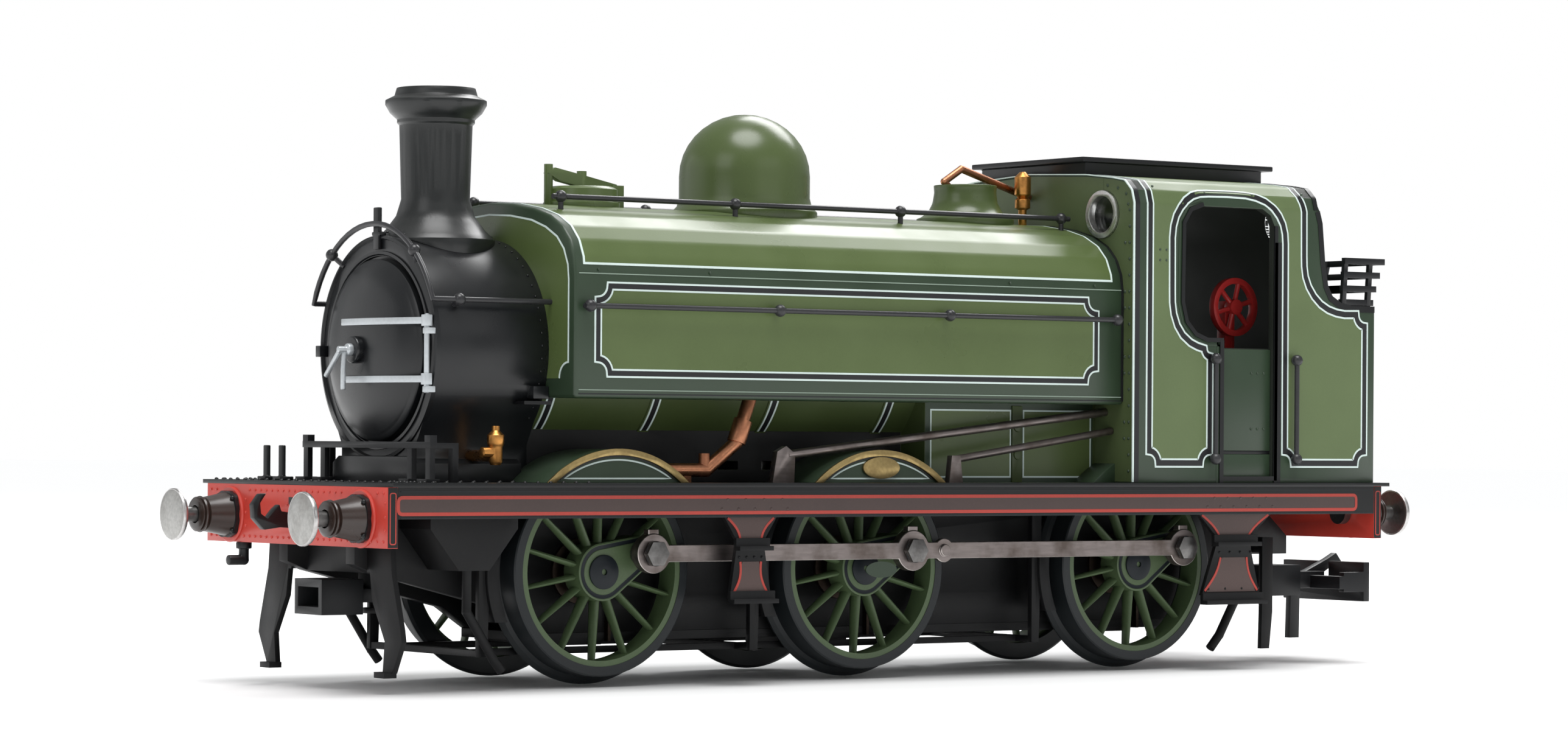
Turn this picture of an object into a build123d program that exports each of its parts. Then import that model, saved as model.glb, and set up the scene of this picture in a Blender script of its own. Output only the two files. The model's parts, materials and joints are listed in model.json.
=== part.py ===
from build123d import *

import os
from math import cos, pi, radians, sin

# Model steam locomotive, 0-6-0 saddle tank, 4 mm to the foot. All sizes in mm.
# Working frame while building: x from the middle axle towards the rear, y to the right,
# z up from the rail head. save() moves each piece into the row frame.

# ---- running gear ----
wheelbase_front = 29.0
wheelbase_rear = 33.0
tread_r = 9.3
flange_depth = 0.7
back_to_back = 14.5
wheel_width = 3.2
tyre_thickness = 0.95
spoke_count = 14
crank_throw = 4.2
left_crank_deg = 23.0
right_crank_deg = 113.0
axle_r = 1.5
running_gap = 0.05
crankpin_r = 0.7
rod_inner_y = 11.9
rod_thickness = 1.0
rod_height = 1.5
front_pivot_x = -46.0
rear_pivot_x = 52.0
keeper_top_z = 3.8
gear_teeth = 30
gear_module = 0.4
worm_pitch_r = 1.8

# ---- body ----
footplate_z = tread_r + 7.9
footplate_half_w = 16.5
front_end_x = -54.2
rear_end_x = 60.6
valance_y = 15.6
valance_low_z = footplate_z - 3.05
beam_low_z = footplate_z - 5.5
buffer_z = footplate_z - 3.05
buffer_y = 11.33
buffer_reach = 6.1
boiler_z = footplate_z + 11.7
boiler_r = 9.4
smokebox_r = 9.85
smokebox_front_x = -45.8
tank_front_x = -34.35
tank_half_w = 13.9
tank_top_z = footplate_z + 24.9
tank_low_z = footplate_z + 7.4
chimney_x = -40.05
chimney_top_z = footplate_z + 34.8
dome_x = -6.3
dome_top_z = footplate_z + 34.1
filler_x = -24.5
safety_valve_x = 20.0
cab_front_x = 28.2
cab_half_w = 15.5
cab_roof_end_x = 51.6
bunker_end_x = 59.35
bunker_z = footplate_z + 17.4
eaves_z = footplate_z + 26.6
roof_z = footplate_z + 29.9
sheet = 0.8

# ---- derived ----
axle_z = tread_r
flange_r = tread_r + flange_depth
axles = (-wheelbase_front, 0.0, wheelbase_rear)
wheel_back_y = back_to_back / 2
wheel_face_y = wheel_back_y + wheel_width
frame_out_y = wheel_back_y - 0.75
frame_in_y = frame_out_y - 1.5
underplate_z = footplate_z - 0.9
front_face_x = front_end_x - buffer_reach
rear_beam_x = rear_end_x - 0.25
coupling_tip_x = rear_beam_x + 9.2
mid_x = (front_face_x + coupling_tip_x) / 2
gear_r = gear_teeth * gear_module / 2
worm_z = axle_z + gear_r + worm_pitch_r
worm_lead = pi * gear_module


# ---------------------------------------------------------------- helpers
def box(x0, x1, y0, y1, z0, z1):
    centre = Pos((x0 + x1) / 2, (y0 + y1) / 2, (z0 + z1) / 2)
    return centre * Box(abs(x1 - x0), abs(y1 - y0), abs(z1 - z0))


def span_y(y0, y1, x, z, r):
    plane = Plane(origin=(x, y0, z), x_dir=(1, 0, 0), z_dir=(0, 1, 0))
    return extrude(plane * Circle(r), amount=y1 - y0)


def span_x(x0, x1, y, z, r):
    plane = Plane(origin=(x0, y, z), x_dir=(0, 1, 0), z_dir=(1, 0, 0))
    return extrude(plane * Circle(r), amount=x1 - x0)


def span_z(z0, z1, x, y, r):
    return extrude(Plane(origin=(x, y, z0)) * Circle(r), amount=z1 - z0)


def face_of(points, rounding=0.0):
    face = make_face(Polyline(*points, close=True))
    if rounding:
        face = fillet(face.vertices(), rounding)
    return face


def plate_xz(points, y0, y1, rounding=0.0):
    plane = Plane(origin=(0, y1, 0), x_dir=(1, 0, 0), z_dir=(0, -1, 0))
    return extrude(plane * face_of(points, rounding), amount=y1 - y0)


def plate_yz(points, x0, x1, rounding=0.0):
    plane = Plane(origin=(x0, 0, 0), x_dir=(0, 1, 0), z_dir=(1, 0, 0))
    return extrude(plane * face_of(points, rounding), amount=x1 - x0)


def plate_xy(points, z0, z1, rounding=0.0):
    return extrude(Plane(origin=(0, 0, z0)) * face_of(points, rounding), amount=z1 - z0)


def turned(points, origin, direction):
    """Solid of revolution: points are (radius, height along direction from origin)."""
    side = (1, 0, 0) if abs(direction[0]) < 0.5 else (0, 1, 0)
    normal = Vector(*side).cross(Vector(*direction))
    plane = Plane(origin=origin, x_dir=side, z_dir=normal)
    closed = [(0, points[0][1])] + list(points) + [(0, points[-1][1])]
    cleaned = [p for i, p in enumerate(closed) if i == 0 or p != closed[i - 1]]
    return revolve(plane * make_face(Polyline(*cleaned, close=True)), Axis(origin, direction))


def wire_rod(points, r):
    """Round bar through the points, with a ball at each bend."""
    bar = None
    for start, end in zip(points, points[1:]):
        run = Vector(*end) - Vector(*start)
        piece = extrude(Plane(origin=start, z_dir=run) * Circle(r), amount=run.length)
        bar = piece if bar is None else bar + piece
    for point in points[1:-1]:
        bar = bar + Pos(*point) * Sphere(r * 1.03)
    return bar


def right_side(shape):
    return mirror(shape, about=Plane.XZ)


def both_sides(shape):
    return shape + right_side(shape)


def arc_points(cx, cz, r, start_deg, end_deg, steps):
    span = end_deg - start_deg
    angles = [radians(start_deg + span * i / steps) for i in range(steps + 1)]
    return [(cx + r * cos(a), cz + r * sin(a)) for a in angles]


def save(name, shape):
    os.makedirs("parts", exist_ok=True)
    to_row = Location((-mid_x, 0, flange_depth))
    solids = [solid.moved(to_row) for solid in shape.solids()]
    whole = solids[0] if len(solids) == 1 else Compound(solids)
    export_step(whole, "parts/" + name + ".step")


# ---------------------------------------------------------------- shared outlines
def wheel_wells():
    wells = []
    for x in axles:
        wells.append(span_y(wheel_back_y - 0.5, wheel_face_y + 1.0, x, axle_z, flange_r + 0.45))
    left = [right_side(w) for w in wells]
    return wells + left


def cut_wells(shape):
    for well in wheel_wells():
        shape = shape - well
    return shape


def tank_outline():
    w = tank_half_w
    shoulder = [(w, tank_top_z - 6.9), (w - 0.25, tank_top_z - 5.2), (w - 0.95, tank_top_z - 3.7),
                (w - 2.2, tank_top_z - 2.45), (w - 4.2, tank_top_z - 1.45),
                (w - 6.8, tank_top_z - 0.75), (w - 10.3, tank_top_z - 0.22)]
    right = [(w, tank_low_z)] + shoulder
    return right + [(0, tank_top_z)] + [(-y, z) for y, z in reversed(right)]


def tank_core():
    return plate_yz(tank_outline(), tank_front_x, cab_front_x)


def cab_outline(inset):
    w = cab_half_w - inset
    rise = roof_z - eaves_z - 0.35
    right = [(w, footplate_z - 1 if inset else footplate_z), (w, eaves_z - inset)]
    corner = [(w - 0.35, eaves_z + 1.2 - inset), (w - 1.35, eaves_z + 2.15 - inset),
              (w - 3.2, eaves_z + 0.72 * rise + 0.35 - inset),
              (w - 7.0, eaves_z + 0.9 * rise + 0.25 - inset)]
    half = right + corner
    return half + [(0, roof_z - inset)] + [(-y, z) for y, z in reversed(half)]


def boiler_skin(r, x0, x1):
    return span_x(x0, x1, 0, boiler_z, r)


# ---------------------------------------------------------------- chassis
def make_chassis_frame():
    low = keeper_top_z
    top = underplate_z
    side = [(-50.0, beam_low_z - 2.4), (-36.0, low + 2.0), (-33.0, low), (42.0, low), (46.5, 7.2),
            (48.0, axle_z + 0.7), (56.2, axle_z + 0.7), (56.2, axle_z + 2.5), (51.0, top),
            (-52.0, top), (-52.0, beam_low_z - 1.6)]
    frame = both_sides(plate_xz(side, -frame_out_y, -frame_in_y))
    frame = frame + box(-50.0, -38.0, -frame_in_y, frame_in_y, beam_low_z - 2.4, top)
    frame = frame + box(42.0, 46.0, -frame_in_y, frame_in_y, axle_z, top)
    frame = frame + box(46.0, 56.2, -frame_in_y, frame_in_y, axle_z + 0.7, axle_z + 2.5)
    frame = frame + box(-20.0, -12.0, -frame_in_y, frame_in_y, low, top)
    frame = frame + box(12.5, 24.0, -frame_in_y, frame_in_y, low, worm_z - 6.1)
    for x in axles:
        frame = frame - span_y(-frame_out_y - 1, frame_out_y + 1, x, axle_z, axle_r + 0.9)
    return frame + pivot_pin(front_pivot_x, beam_low_z - 2.4) + pivot_pin(rear_pivot_x, axle_z + 0.7)


def pivot_pin(x, root_z):
    return span_z(6.1, root_z, x, 0, 0.6) + span_z(5.6, 6.1, x, 0, 1.1)


def make_keeper_plate():
    z = keeper_top_z
    plate = box(-33.0, 42.0, -frame_out_y, frame_out_y, z - 0.8, z)
    screws = [turned([(1.2, 0), (1.2, 0.35), (0.0, 0.5)], (x, 0, z - 0.8), (0, 0, -1))
              for x in (-16.0, 18.0)]
    ribs = [box(x - 2.6, x + 2.6, -frame_out_y, frame_out_y, z - 1.1, z - 0.8) for x in axles]
    pan = box(-4.0, 4.0, -2.6, 2.6, z - 1.7, z - 0.8)
    for piece in ribs + screws + [pan]:
        plate = plate + piece
    return plate - box(-3.4, 3.4, -2.0, 2.0, z - 1.3, z + 1.0)


def make_axle_bearings():
    bushes = []
    for x in axles:
        bush = span_y(-frame_out_y, -frame_in_y, x, axle_z, axle_r + 0.9)
        bush = bush + span_y(-frame_out_y - 0.4, -frame_out_y, x, axle_z, axle_r + 1.4)
        bush = bush - span_y(-frame_out_y - 1, -frame_in_y + 1, x, axle_z, axle_r + running_gap)
        bushes += [bush, right_side(bush)]
    return Compound(bushes)


# ---------------------------------------------------------------- wheels
def crank_point(x, angle_deg):
    a = radians(angle_deg)
    return (x + crank_throw * cos(a), axle_z + crank_throw * sin(a))


def make_tyre(x):
    outer = [(flange_r - 0.25, 0), (flange_r, 0.25), (flange_r, 0.45), (flange_r - 0.35, 0.75),
             (tread_r, 0.95), (tread_r - 0.08, wheel_width - 0.1), (tread_r - 0.2, wheel_width)]
    tyre = turned(outer, (x, -wheel_back_y, axle_z), (0, -1, 0))
    bore = span_y(-wheel_face_y - 1, -wheel_back_y + 1, x, axle_z, tread_r - tyre_thickness)
    return tyre - bore


def boss_outline(x, angle_deg):
    px, pz = crank_point(x, angle_deg)
    plane = Plane(origin=(0, -wheel_back_y - 0.9, 0), x_dir=(1, 0, 0), z_dir=(0, -1, 0))
    hull = make_hull((Pos(x, axle_z) * Circle(2.35)).edges() + (Pos(px, pz) * Circle(1.45)).edges())
    return extrude(plane * hull, amount=wheel_width - 0.9 + 0.25)


def make_wheel_centre(x, angle_deg):
    outer_r = tread_r - tyre_thickness
    rim = span_y(-wheel_face_y + 0.1, -wheel_back_y - 0.5, x, axle_z, outer_r)
    rim = rim - span_y(-wheel_face_y - 1, -wheel_back_y + 1, x, axle_z, outer_r - 0.75)
    wheel = rim + boss_outline(x, angle_deg)
    wheel = wheel + span_y(-wheel_back_y - 0.9, -wheel_back_y, x, axle_z, 2.35)
    for i in range(spoke_count):
        a = radians(angle_deg + 360.0 * i / spoke_count)
        reach = outer_r - 0.4
        half_in = 0.42
        half_out = 0.27
        corners = [(1.6, -half_in), (reach, -half_out), (reach, half_out), (1.6, half_in)]
        turned_corners = [(x + u * cos(a) - v * sin(a), axle_z + u * sin(a) + v * cos(a))
                          for u, v in corners]
        wheel = wheel + plate_xz(turned_corners, -wheel_face_y + 0.5, -wheel_back_y - 1.0)
    px, pz = crank_point(x, angle_deg)
    wheel = wheel - span_y(-wheel_face_y - 2, -wheel_back_y + 1, px, pz, crankpin_r)
    bore = span_y(-wheel_face_y + 0.4, -wheel_back_y + 1, x, axle_z, axle_r)
    return wheel - bore - span_y(-wheel_face_y - 1, -wheel_face_y + 0.5, x, axle_z, 0.3)


def make_crankpin(x, angle_deg):
    px, pz = crank_point(x, angle_deg)
    rod_out = rod_inner_y + rod_thickness
    pin = span_y(-rod_out - 0.1, -wheel_back_y - 1.0, px, pz, crankpin_r)
    pin = pin + span_y(-rod_inner_y + 0.06, -wheel_face_y - 0.25, px, pz, 1.1)
    nut = RegularPolygon(1.2, 6)
    plane = Plane(origin=(px, -rod_out - 0.06, pz), x_dir=(1, 0, 0), z_dir=(0, -1, 0))
    return pin + extrude(plane * nut, amount=0.65)


def make_axle(x):
    half = wheel_face_y - 0.4
    axle = span_y(-half, half, x, axle_z, axle_r)
    return [axle, make_crankpin(x, left_crank_deg), right_side(make_crankpin(x, right_crank_deg))]


def save_wheelset(name, x):
    save(name + "_axle", Compound(make_axle(x)))
    left = make_wheel_centre(x, left_crank_deg)
    right = right_side(make_wheel_centre(x, right_crank_deg))
    save(name + "_wheels", Compound([left, right]))
    tyre = make_tyre(x)
    save(name + "_tyres", Compound([tyre, right_side(tyre)]))


# ---------------------------------------------------------------- gears and motor
def make_worm_wheel():
    face_r = gear_r + 0.85 * gear_module
    root_r = gear_r - 1.1 * gear_module
    gear = span_y(-1.0, 1.0, 0, axle_z, root_r)
    gear = gear + span_y(-1.8, 1.8, 0, axle_z, 3.0)
    step = 360.0 / gear_teeth
    for i in range(gear_teeth):
        a = radians(90.0 + step * (i + 0.5))
        corners = [(root_r - 0.2, -0.36), (face_r, -0.13), (face_r, 0.13), (root_r - 0.2, 0.36)]
        tooth = [(u * cos(a) - v * sin(a), axle_z + u * sin(a) + v * cos(a)) for u, v in corners]
        gear = gear + plate_xz(tooth, -1.0, 1.0)
    return gear - span_y(-3, 3, 0, axle_z, axle_r)


def make_worm():
    turns = 7
    length = turns * worm_lead
    core_r = worm_pitch_r - 1.15 * gear_module
    crest_r = worm_pitch_r + 0.8 * gear_module
    helix = Helix(pitch=worm_lead, height=length, radius=core_r)
    start = Plane(origin=helix @ 0, x_dir=(1, 0, 0), z_dir=(0, -1, 0))
    profile = [(-0.12, -0.30), (crest_r - core_r, -0.10), (crest_r - core_r, 0.10), (-0.12, 0.30)]
    section = start * make_face(Polyline(*profile, close=True))
    thread = sweep(section, path=helix, is_frenet=True)
    core = span_z(-0.8, length + 0.8, 0, 0, core_r)
    worm = core + thread
    worm = worm - span_z(-2, length + 2, 0, 0, 0.75)
    # after the quarter turn below the thread start points down; centre its middle turn on x = 0
    laid = Rot(0, 90, 0) * worm
    return Pos(-(turns // 2) * worm_lead, 0, worm_z) * laid


def make_motor_shaft():
    return span_x(-7.0, 26.5, 0, worm_z, 0.75)


def make_motor_can():
    can = span_x(9.0, 24.0, 0, worm_z, 6.0)
    can = can & box(9.0, 24.0, -frame_in_y + 0.25, frame_in_y - 0.25, worm_z - 7, worm_z + 7)
    can = can + span_x(8.0, 9.0, 0, worm_z, 2.2) + span_x(24.0, 25.2, 0, worm_z, 2.2)
    yoke = box(-6.3, -5.4, -3.0, 3.0, worm_z - 2.2, worm_z + 2.7)
    arm = box(-6.3, 9.0, -3.0, 3.0, worm_z + 2.7, worm_z + 3.4)
    return can + yoke + arm - span_x(-8, 27, 0, worm_z, 0.75 + running_gap)


# ---------------------------------------------------------------- coupling rods
def eye(x, z, r):
    body = span_y(-rod_inner_y - rod_thickness, -rod_inner_y, x, z, r)
    lug = box(x - 0.55, x + 0.55, -rod_inner_y - rod_thickness + 0.1, -rod_inner_y - 0.1, z, z + r + 0.4)
    return body + lug


def make_rods(angle_deg):
    pins = [crank_point(x, angle_deg) for x in axles]
    z = pins[0][1]
    out_y = -rod_inner_y - rod_thickness
    knuckle_x = pins[1][0] + 3.6
    front = box(pins[0][0], knuckle_x, out_y, -rod_inner_y, z - rod_height / 2, z + rod_height / 2)
    front = front + eye(pins[0][0], z, 1.75) + eye(pins[1][0], z, 1.85)
    front = front + span_y(out_y, -rod_inner_y - 0.5, knuckle_x, z, 1.1)
    rear = box(knuckle_x, pins[2][0], out_y, -rod_inner_y, z - rod_height / 2, z + rod_height / 2)
    rod = front + rear + eye(pins[2][0], z, 1.75)
    rod = rod + span_y(out_y - 0.25, out_y + 0.1, knuckle_x, z, 0.55)
    for x, _ in pins:
        rod = rod - span_y(out_y - 1, -rod_inner_y + 1, x, z, crankpin_r + running_gap)
    return rod


# ---------------------------------------------------------------- footplate and ends
def make_footplate():
    w = footplate_half_w
    plate = box(front_end_x, rear_end_x, -w, w, footplate_z - 0.35, footplate_z)
    inner_x = front_end_x + 1.0
    plate = plate + box(inner_x, rear_beam_x - 1.0, -15.0, 15.0, underplate_z, footplate_z - 0.35)
    valance = box(inner_x, rear_beam_x - 1.0, -valance_y, -valance_y + 0.6, valance_low_z, footplate_z - 0.35)
    plate = plate + both_sides(valance)
    plate = cut_wells(plate)
    return plate - box(-7.8, 27.2, -frame_in_y, frame_in_y, underplate_z - 1, footplate_z + 1)


def make_beam(x0, x1):
    beam = box(x0, x1, -valance_y, valance_y, beam_low_z, footplate_z - 0.35)
    for y in (-buffer_y, buffer_y):
        beam = beam - span_x(x0 - 1, x1 + 1, y, buffer_z, 0.75)
    return beam


def make_housing(x, y, sign):
    profile = [(2.35, 0), (2.35, 0.5), (1.95, 0.55), (1.45, 2.95), (1.6, 3.0), (1.6, 3.3),
               (1.25, 3.4), (1.25, 3.75)]
    body = turned(profile, (x, y, buffer_z), (sign, 0, 0))
    return body - span_x(x - 8, x + 8, y, buffer_z, 0.75)


def make_buffer_housings():
    pieces = []
    for y in (-buffer_y, buffer_y):
        pieces.append(make_housing(front_end_x, y, -1))
        pieces.append(make_housing(rear_beam_x, y, 1))
    return Compound(pieces)


def make_buffer_head(x, y, sign):
    reach = buffer_reach
    profile = [(1.1, -1.85), (1.1, -1.05), (0.70, -1.05), (0.70, reach - 0.95), (2.25, reach - 0.7),
               (2.3, reach - 0.3), (1.4, reach - 0.08), (0.5, reach)]
    return turned(profile, (x, y, buffer_z), (sign, 0, 0))


def make_beam_fittings():
    hook = [(front_end_x, boiler_z - 15.8), (front_end_x - 1.6, boiler_z - 15.7),
            (front_end_x - 3.2, boiler_z - 15.9), (front_end_x - 4.2, boiler_z - 14.9),
            (front_end_x - 4.3, boiler_z - 13.7), (front_end_x - 3.6, boiler_z - 12.8),
            (front_end_x - 3.0, boiler_z - 12.75), (front_end_x - 3.6, boiler_z - 13.6),
            (front_end_x - 3.5, boiler_z - 14.5), (front_end_x - 2.9, boiler_z - 14.9),
            (front_end_x - 2.2, boiler_z - 14.1), (front_end_x - 1.7, boiler_z - 13.7),
            (front_end_x - 1.5, boiler_z - 14.3), (front_end_x, boiler_z - 14.5)]
    front = plate_xz(hook, -0.4, 0.4)
    rear = mirror(front, about=Plane(origin=((front_end_x + rear_beam_x) / 2, 0, 0), z_dir=(1, 0, 0)))
    pipe_x = front_end_x + 0.5
    pipe = wire_rod([(pipe_x, 9.8, beam_low_z), (pipe_x, 9.8, beam_low_z - 1.6),
                     (pipe_x - 1.6, 9.8, beam_low_z - 1.6)], 0.45)
    pipe = pipe + span_z(beam_low_z - 0.6, beam_low_z, pipe_x, 9.8, 0.7)
    posts = []
    for y in (8.6, 5.9):
        post = box(-52.3, -51.9, y - 0.35, y + 0.35, footplate_z, footplate_z + 3.1)
        posts.append(post + box(-52.7, -51.3, y - 0.7, y + 0.7, footplate_z, footplate_z + 0.35))
    crown_z = boiler_z + smokebox_r
    lamp = box(-46.2, -45.8, -0.45, 0.45, crown_z - 1.2, crown_z + 2.5)
    lamp = lamp + box(-46.2, -45.5, -0.7, 0.7, crown_z, crown_z + 0.35)
    return Compound([front, rear, pipe, lamp] + posts)


def make_front_rail():
    z = footplate_z + 3.2
    x = smokebox_front_x - 1.0
    rail = box(x - 0.35, x + 0.35, -10.9, 10.9, z - 0.28, z + 0.28)
    for y in (-10.4, -7.4, 7.4, 10.4):
        rail = rail + box(x - 0.3, x + 0.2, y - 0.38, y + 0.38, footplate_z, z)
        rail = rail + box(x - 0.9, x + 0.45, y - 0.8, y + 0.8, footplate_z, footplate_z + 0.3)
    for y in (-10.4, 10.4):
        rail = rail + box(x, x + 2.6, y - 0.35, y + 0.35, z - 0.28, z + 0.2)
        rail = rail + box(x + 2.0, x + 2.6, y - 0.35, y + 0.35, footplate_z, z - 0.2)
        rail = rail + box(x - 0.35, x + 0.35, y - 0.45, y + 0.45, z, z + 0.85)
    return rail


# ---------------------------------------------------------------- boiler and smokebox
def make_smokebox():
    shell = boiler_skin(smokebox_r, smokebox_front_x, tank_front_x)
    neck = [(-6.3, footplate_z), (6.3, footplate_z), (6.3, footplate_z + 3.2), (8.6, boiler_z - 4.5),
            (-8.6, boiler_z - 4.5), (-6.3, footplate_z + 3.2)]
    shell = shell + plate_yz(neck, smokebox_front_x, tank_front_x)
    block = [(-7.0, footplate_z), (7.0, footplate_z), (7.0, footplate_z + 1.6), (6.0, footplate_z + 2.2),
             (-6.0, footplate_z + 2.2), (-7.0, footplate_z + 1.6)]
    shell = shell + plate_yz(block, smokebox_front_x - 0.5, tank_front_x - 1.0)
    shell = shell + both_sides(box(-36.0, -34.4, -9.9, -8.6, boiler_z - 4.4, boiler_z - 3.3))
    return shell - span_x(smokebox_front_x - 1, smokebox_front_x + 0.4, 0, boiler_z - 0.2, 8.3)


def make_smokebox_door():
    x = smokebox_front_x + 0.4
    z = boiler_z - 0.2
    dish = [(8.0, 0), (8.0, 0.9), (7.7, 1.15), (6.6, 1.65), (5.0, 2.15), (3.0, 2.5), (1.2, 2.62)]
    return turned(dish, (x, 0, z), (-1, 0, 0))


def make_door_furniture():
    x = smokebox_front_x
    door = make_smokebox_door()
    gear = None
    for z in (boiler_z + 2.25, boiler_z - 2.8):
        strap = plate_xy([(x, -9.4), (x - 0.95, -9.4), (x - 0.95, -8.2), (x - 1.75, -6.0), (x - 2.3, -3.5),
                          (x - 2.6, 0.0), (x - 2.5, 2.4), (x - 2.2, 2.4), (x, -7.0)],
                         z - 0.45, z + 0.45)
        gear = strap if gear is None else gear + strap
    for z in (boiler_z + 1.5, boiler_z - 2.05):
        gear = gear + box(x - 0.9, x, -9.6, -8.7, z - 0.45, z + 0.45)
    gear = gear + span_z(boiler_z - 4.2, boiler_z + 2.9, x - 0.62, -9.1, 0.3)
    hub_z = boiler_z - 0.2
    gear = gear + span_x(x - 3.2, x - 1.5, 0, hub_z, 1.2) + span_x(x - 4.2, x - 3.0, 0, hub_z, 0.35)
    gear = gear + wire_rod([(x - 3.5, 0, hub_z), (x - 3.6, 0.0, hub_z - 3.4)], 0.2)
    gear = gear + wire_rod([(x - 3.9, 0, hub_z), (x - 4.0, 2.3, hub_z - 2.3)], 0.2)
    gear = gear + box(x - 1.2, x, 8.3, 9.2, boiler_z - 0.7, boiler_z + 0.3)
    shell = make_smokebox()
    return gear - door - shell


def make_chimney():
    base_z = boiler_z + smokebox_r
    z = chimney_top_z
    outline = [(5.3, base_z - 3.2 - z), (5.3, base_z - 0.2 - z), (4.4, base_z + 0.7 - z),
               (3.5, base_z + 1.9 - z), (3.05, base_z + 3.4 - z), (3.25, -3.3), (3.45, -3.1),
               (3.45, -2.8), (4.1, -2.2), (4.5, -1.5), (4.5, -1.1), (3.7, -0.7), (3.5, 0)]
    stack = turned(outline, (chimney_x, 0, z), (0, 0, 1))
    stack = stack - span_z(z - 6.0, z + 1, chimney_x, 0, 2.6)
    return stack - boiler_skin(smokebox_r + 0.01, smokebox_front_x - 5, tank_front_x + 5)


def make_boiler():
    inner_r = boiler_r - 1.2
    barrel = boiler_skin(boiler_r, tank_front_x, cab_front_x)
    skirt = box(tank_front_x, 7.5, -6.2, 6.2, footplate_z, boiler_z - 5.0)
    firebox = box(7.5, cab_front_x, -9.8, 9.8, footplate_z, boiler_z - 2.0)
    body = barrel + skirt + firebox
    body = body - boiler_skin(inner_r, tank_front_x + 1.5, 5.5)
    for x in (-13.5, -8.6):
        body = body - box(x, x + 2.2, -9, 9, footplate_z + 1.1, footplate_z + 1.9)
    for x in (-21.9, -8.85, 4.4):
        body = body + (boiler_skin(boiler_r + 0.12, x - 0.6, x + 0.6) - boiler_skin(boiler_r - 0.3, x - 1, x + 1))
    for z in (footplate_z + 2.6, footplate_z + 5.2):
        body = body + both_sides(span_y(-10.1, -9.7, 18.5, z, 0.45))
    body = body + both_sides(box(17.9, 19.1, -9.95, -9.7, footplate_z, boiler_z - 4.5))
    body = body - box(-7.8, 27.2, -frame_in_y - 0.2, frame_in_y + 0.2, footplate_z - 1, worm_z + 6.6)
    return cut_wells(body)


def make_saddle_tank():
    tank = tank_core()
    tank = tank - boiler_skin(boiler_r + 0.15, tank_front_x - 1, cab_front_x + 1)
    return tank - box(7.0, cab_front_x + 1, -9.95, 9.95, tank_low_z - 1, boiler_z - 1.9)


def make_ballast():
    return boiler_skin(boiler_r - 1.25, tank_front_x + 1.55, 4.0)


def make_dome():
    base_z = tank_top_z
    profile = [(6.8, -4.0), (6.8, 0.1), (6.3, 0.6), (6.1, 1.4), (6.1, 3.4)]
    top = dome_top_z - base_z
    cap = [(6.1 * cos(radians(a)), 3.4 + (top - 3.4) * sin(radians(a))) for a in range(10, 90, 10)]
    body = turned(profile + cap + [(0, top)], (dome_x, 0, base_z), (0, 0, 1))
    return body - tank_core()


def make_tank_filler():
    z = tank_top_z
    lid = turned([(3.5, -1.5), (3.5, 0.3), (3.3, 0.35), (3.3, 1.5), (2.9, 1.75)], (filler_x, 0, z), (0, 0, 1))
    clamp = plate_xz([(filler_x - 3.9, z + 2.9), (filler_x - 3.1, z + 3.4), (filler_x + 0.6, z + 2.7),
                      (filler_x + 3.6, z + 2.1), (filler_x + 3.6, z + 1.6), (filler_x, z + 1.7),
                      (filler_x - 2.6, z + 2.2)], -0.4, 0.4)
    post = span_z(z - 1.5, z + 3.7, filler_x - 3.6, 0, 0.4)
    hinge = box(filler_x + 2.9, filler_x + 4.1, -0.8, 0.8, z - 1.5, z + 2.0)
    screw = span_z(z + 1.5, z + 3.2, filler_x, 0, 0.45)
    return lid + clamp + post + hinge + screw - tank_core()


def make_safety_valve_cover():
    profile = [(4.7, -2.5), (4.7, 0.35), (4.3, 0.5), (3.6, 1.0), (3.15, 1.9), (3.0, 2.9), (3.05, 3.6)]
    body = turned(profile, (safety_valve_x, 0, tank_top_z), (0, 0, 1))
    body = body - span_z(tank_top_z + 1.5, tank_top_z + 5, safety_valve_x, 0, 2.6)
    for x in (-1.1, 1.1):
        body = body + span_z(tank_top_z + 0.5, tank_top_z + 3.3, safety_valve_x + x, 0, 0.75)
    return body - tank_core()


# ---------------------------------------------------------------- fittings
def make_brass_fittings():
    x = cab_front_x - 2.2
    z = tank_top_z
    whistle = turned([(0.4, -0.8), (0.4, 1.4), (0.75, 1.6), (0.75, 2.4), (0.5, 2.6), (0.8, 2.9),
                      (0.8, 4.6), (0.3, 5.1)], (x, -1.4, z), (0, 0, 1)) - tank_core()
    clack = turned([(0.45, -1.9), (0.6, -1.6), (0.6, -0.4), (0.75, 0), (0.75, 0.7), (0.35, 1.1),
                    (0.35, 1.5)], (-40.2, -10.4, footplate_z + 3.4), (0, 0, 1))
    clack = clack + span_y(-10.6, -6.2, -40.2, footplate_z + 2.3, 0.5)
    clack = clack + span_x(-41.6, -40.2, -10.4, footplate_z + 2.6, 0.45)
    clack = clack - make_smokebox()
    return Compound([whistle, clack, right_side(clack)])


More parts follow.
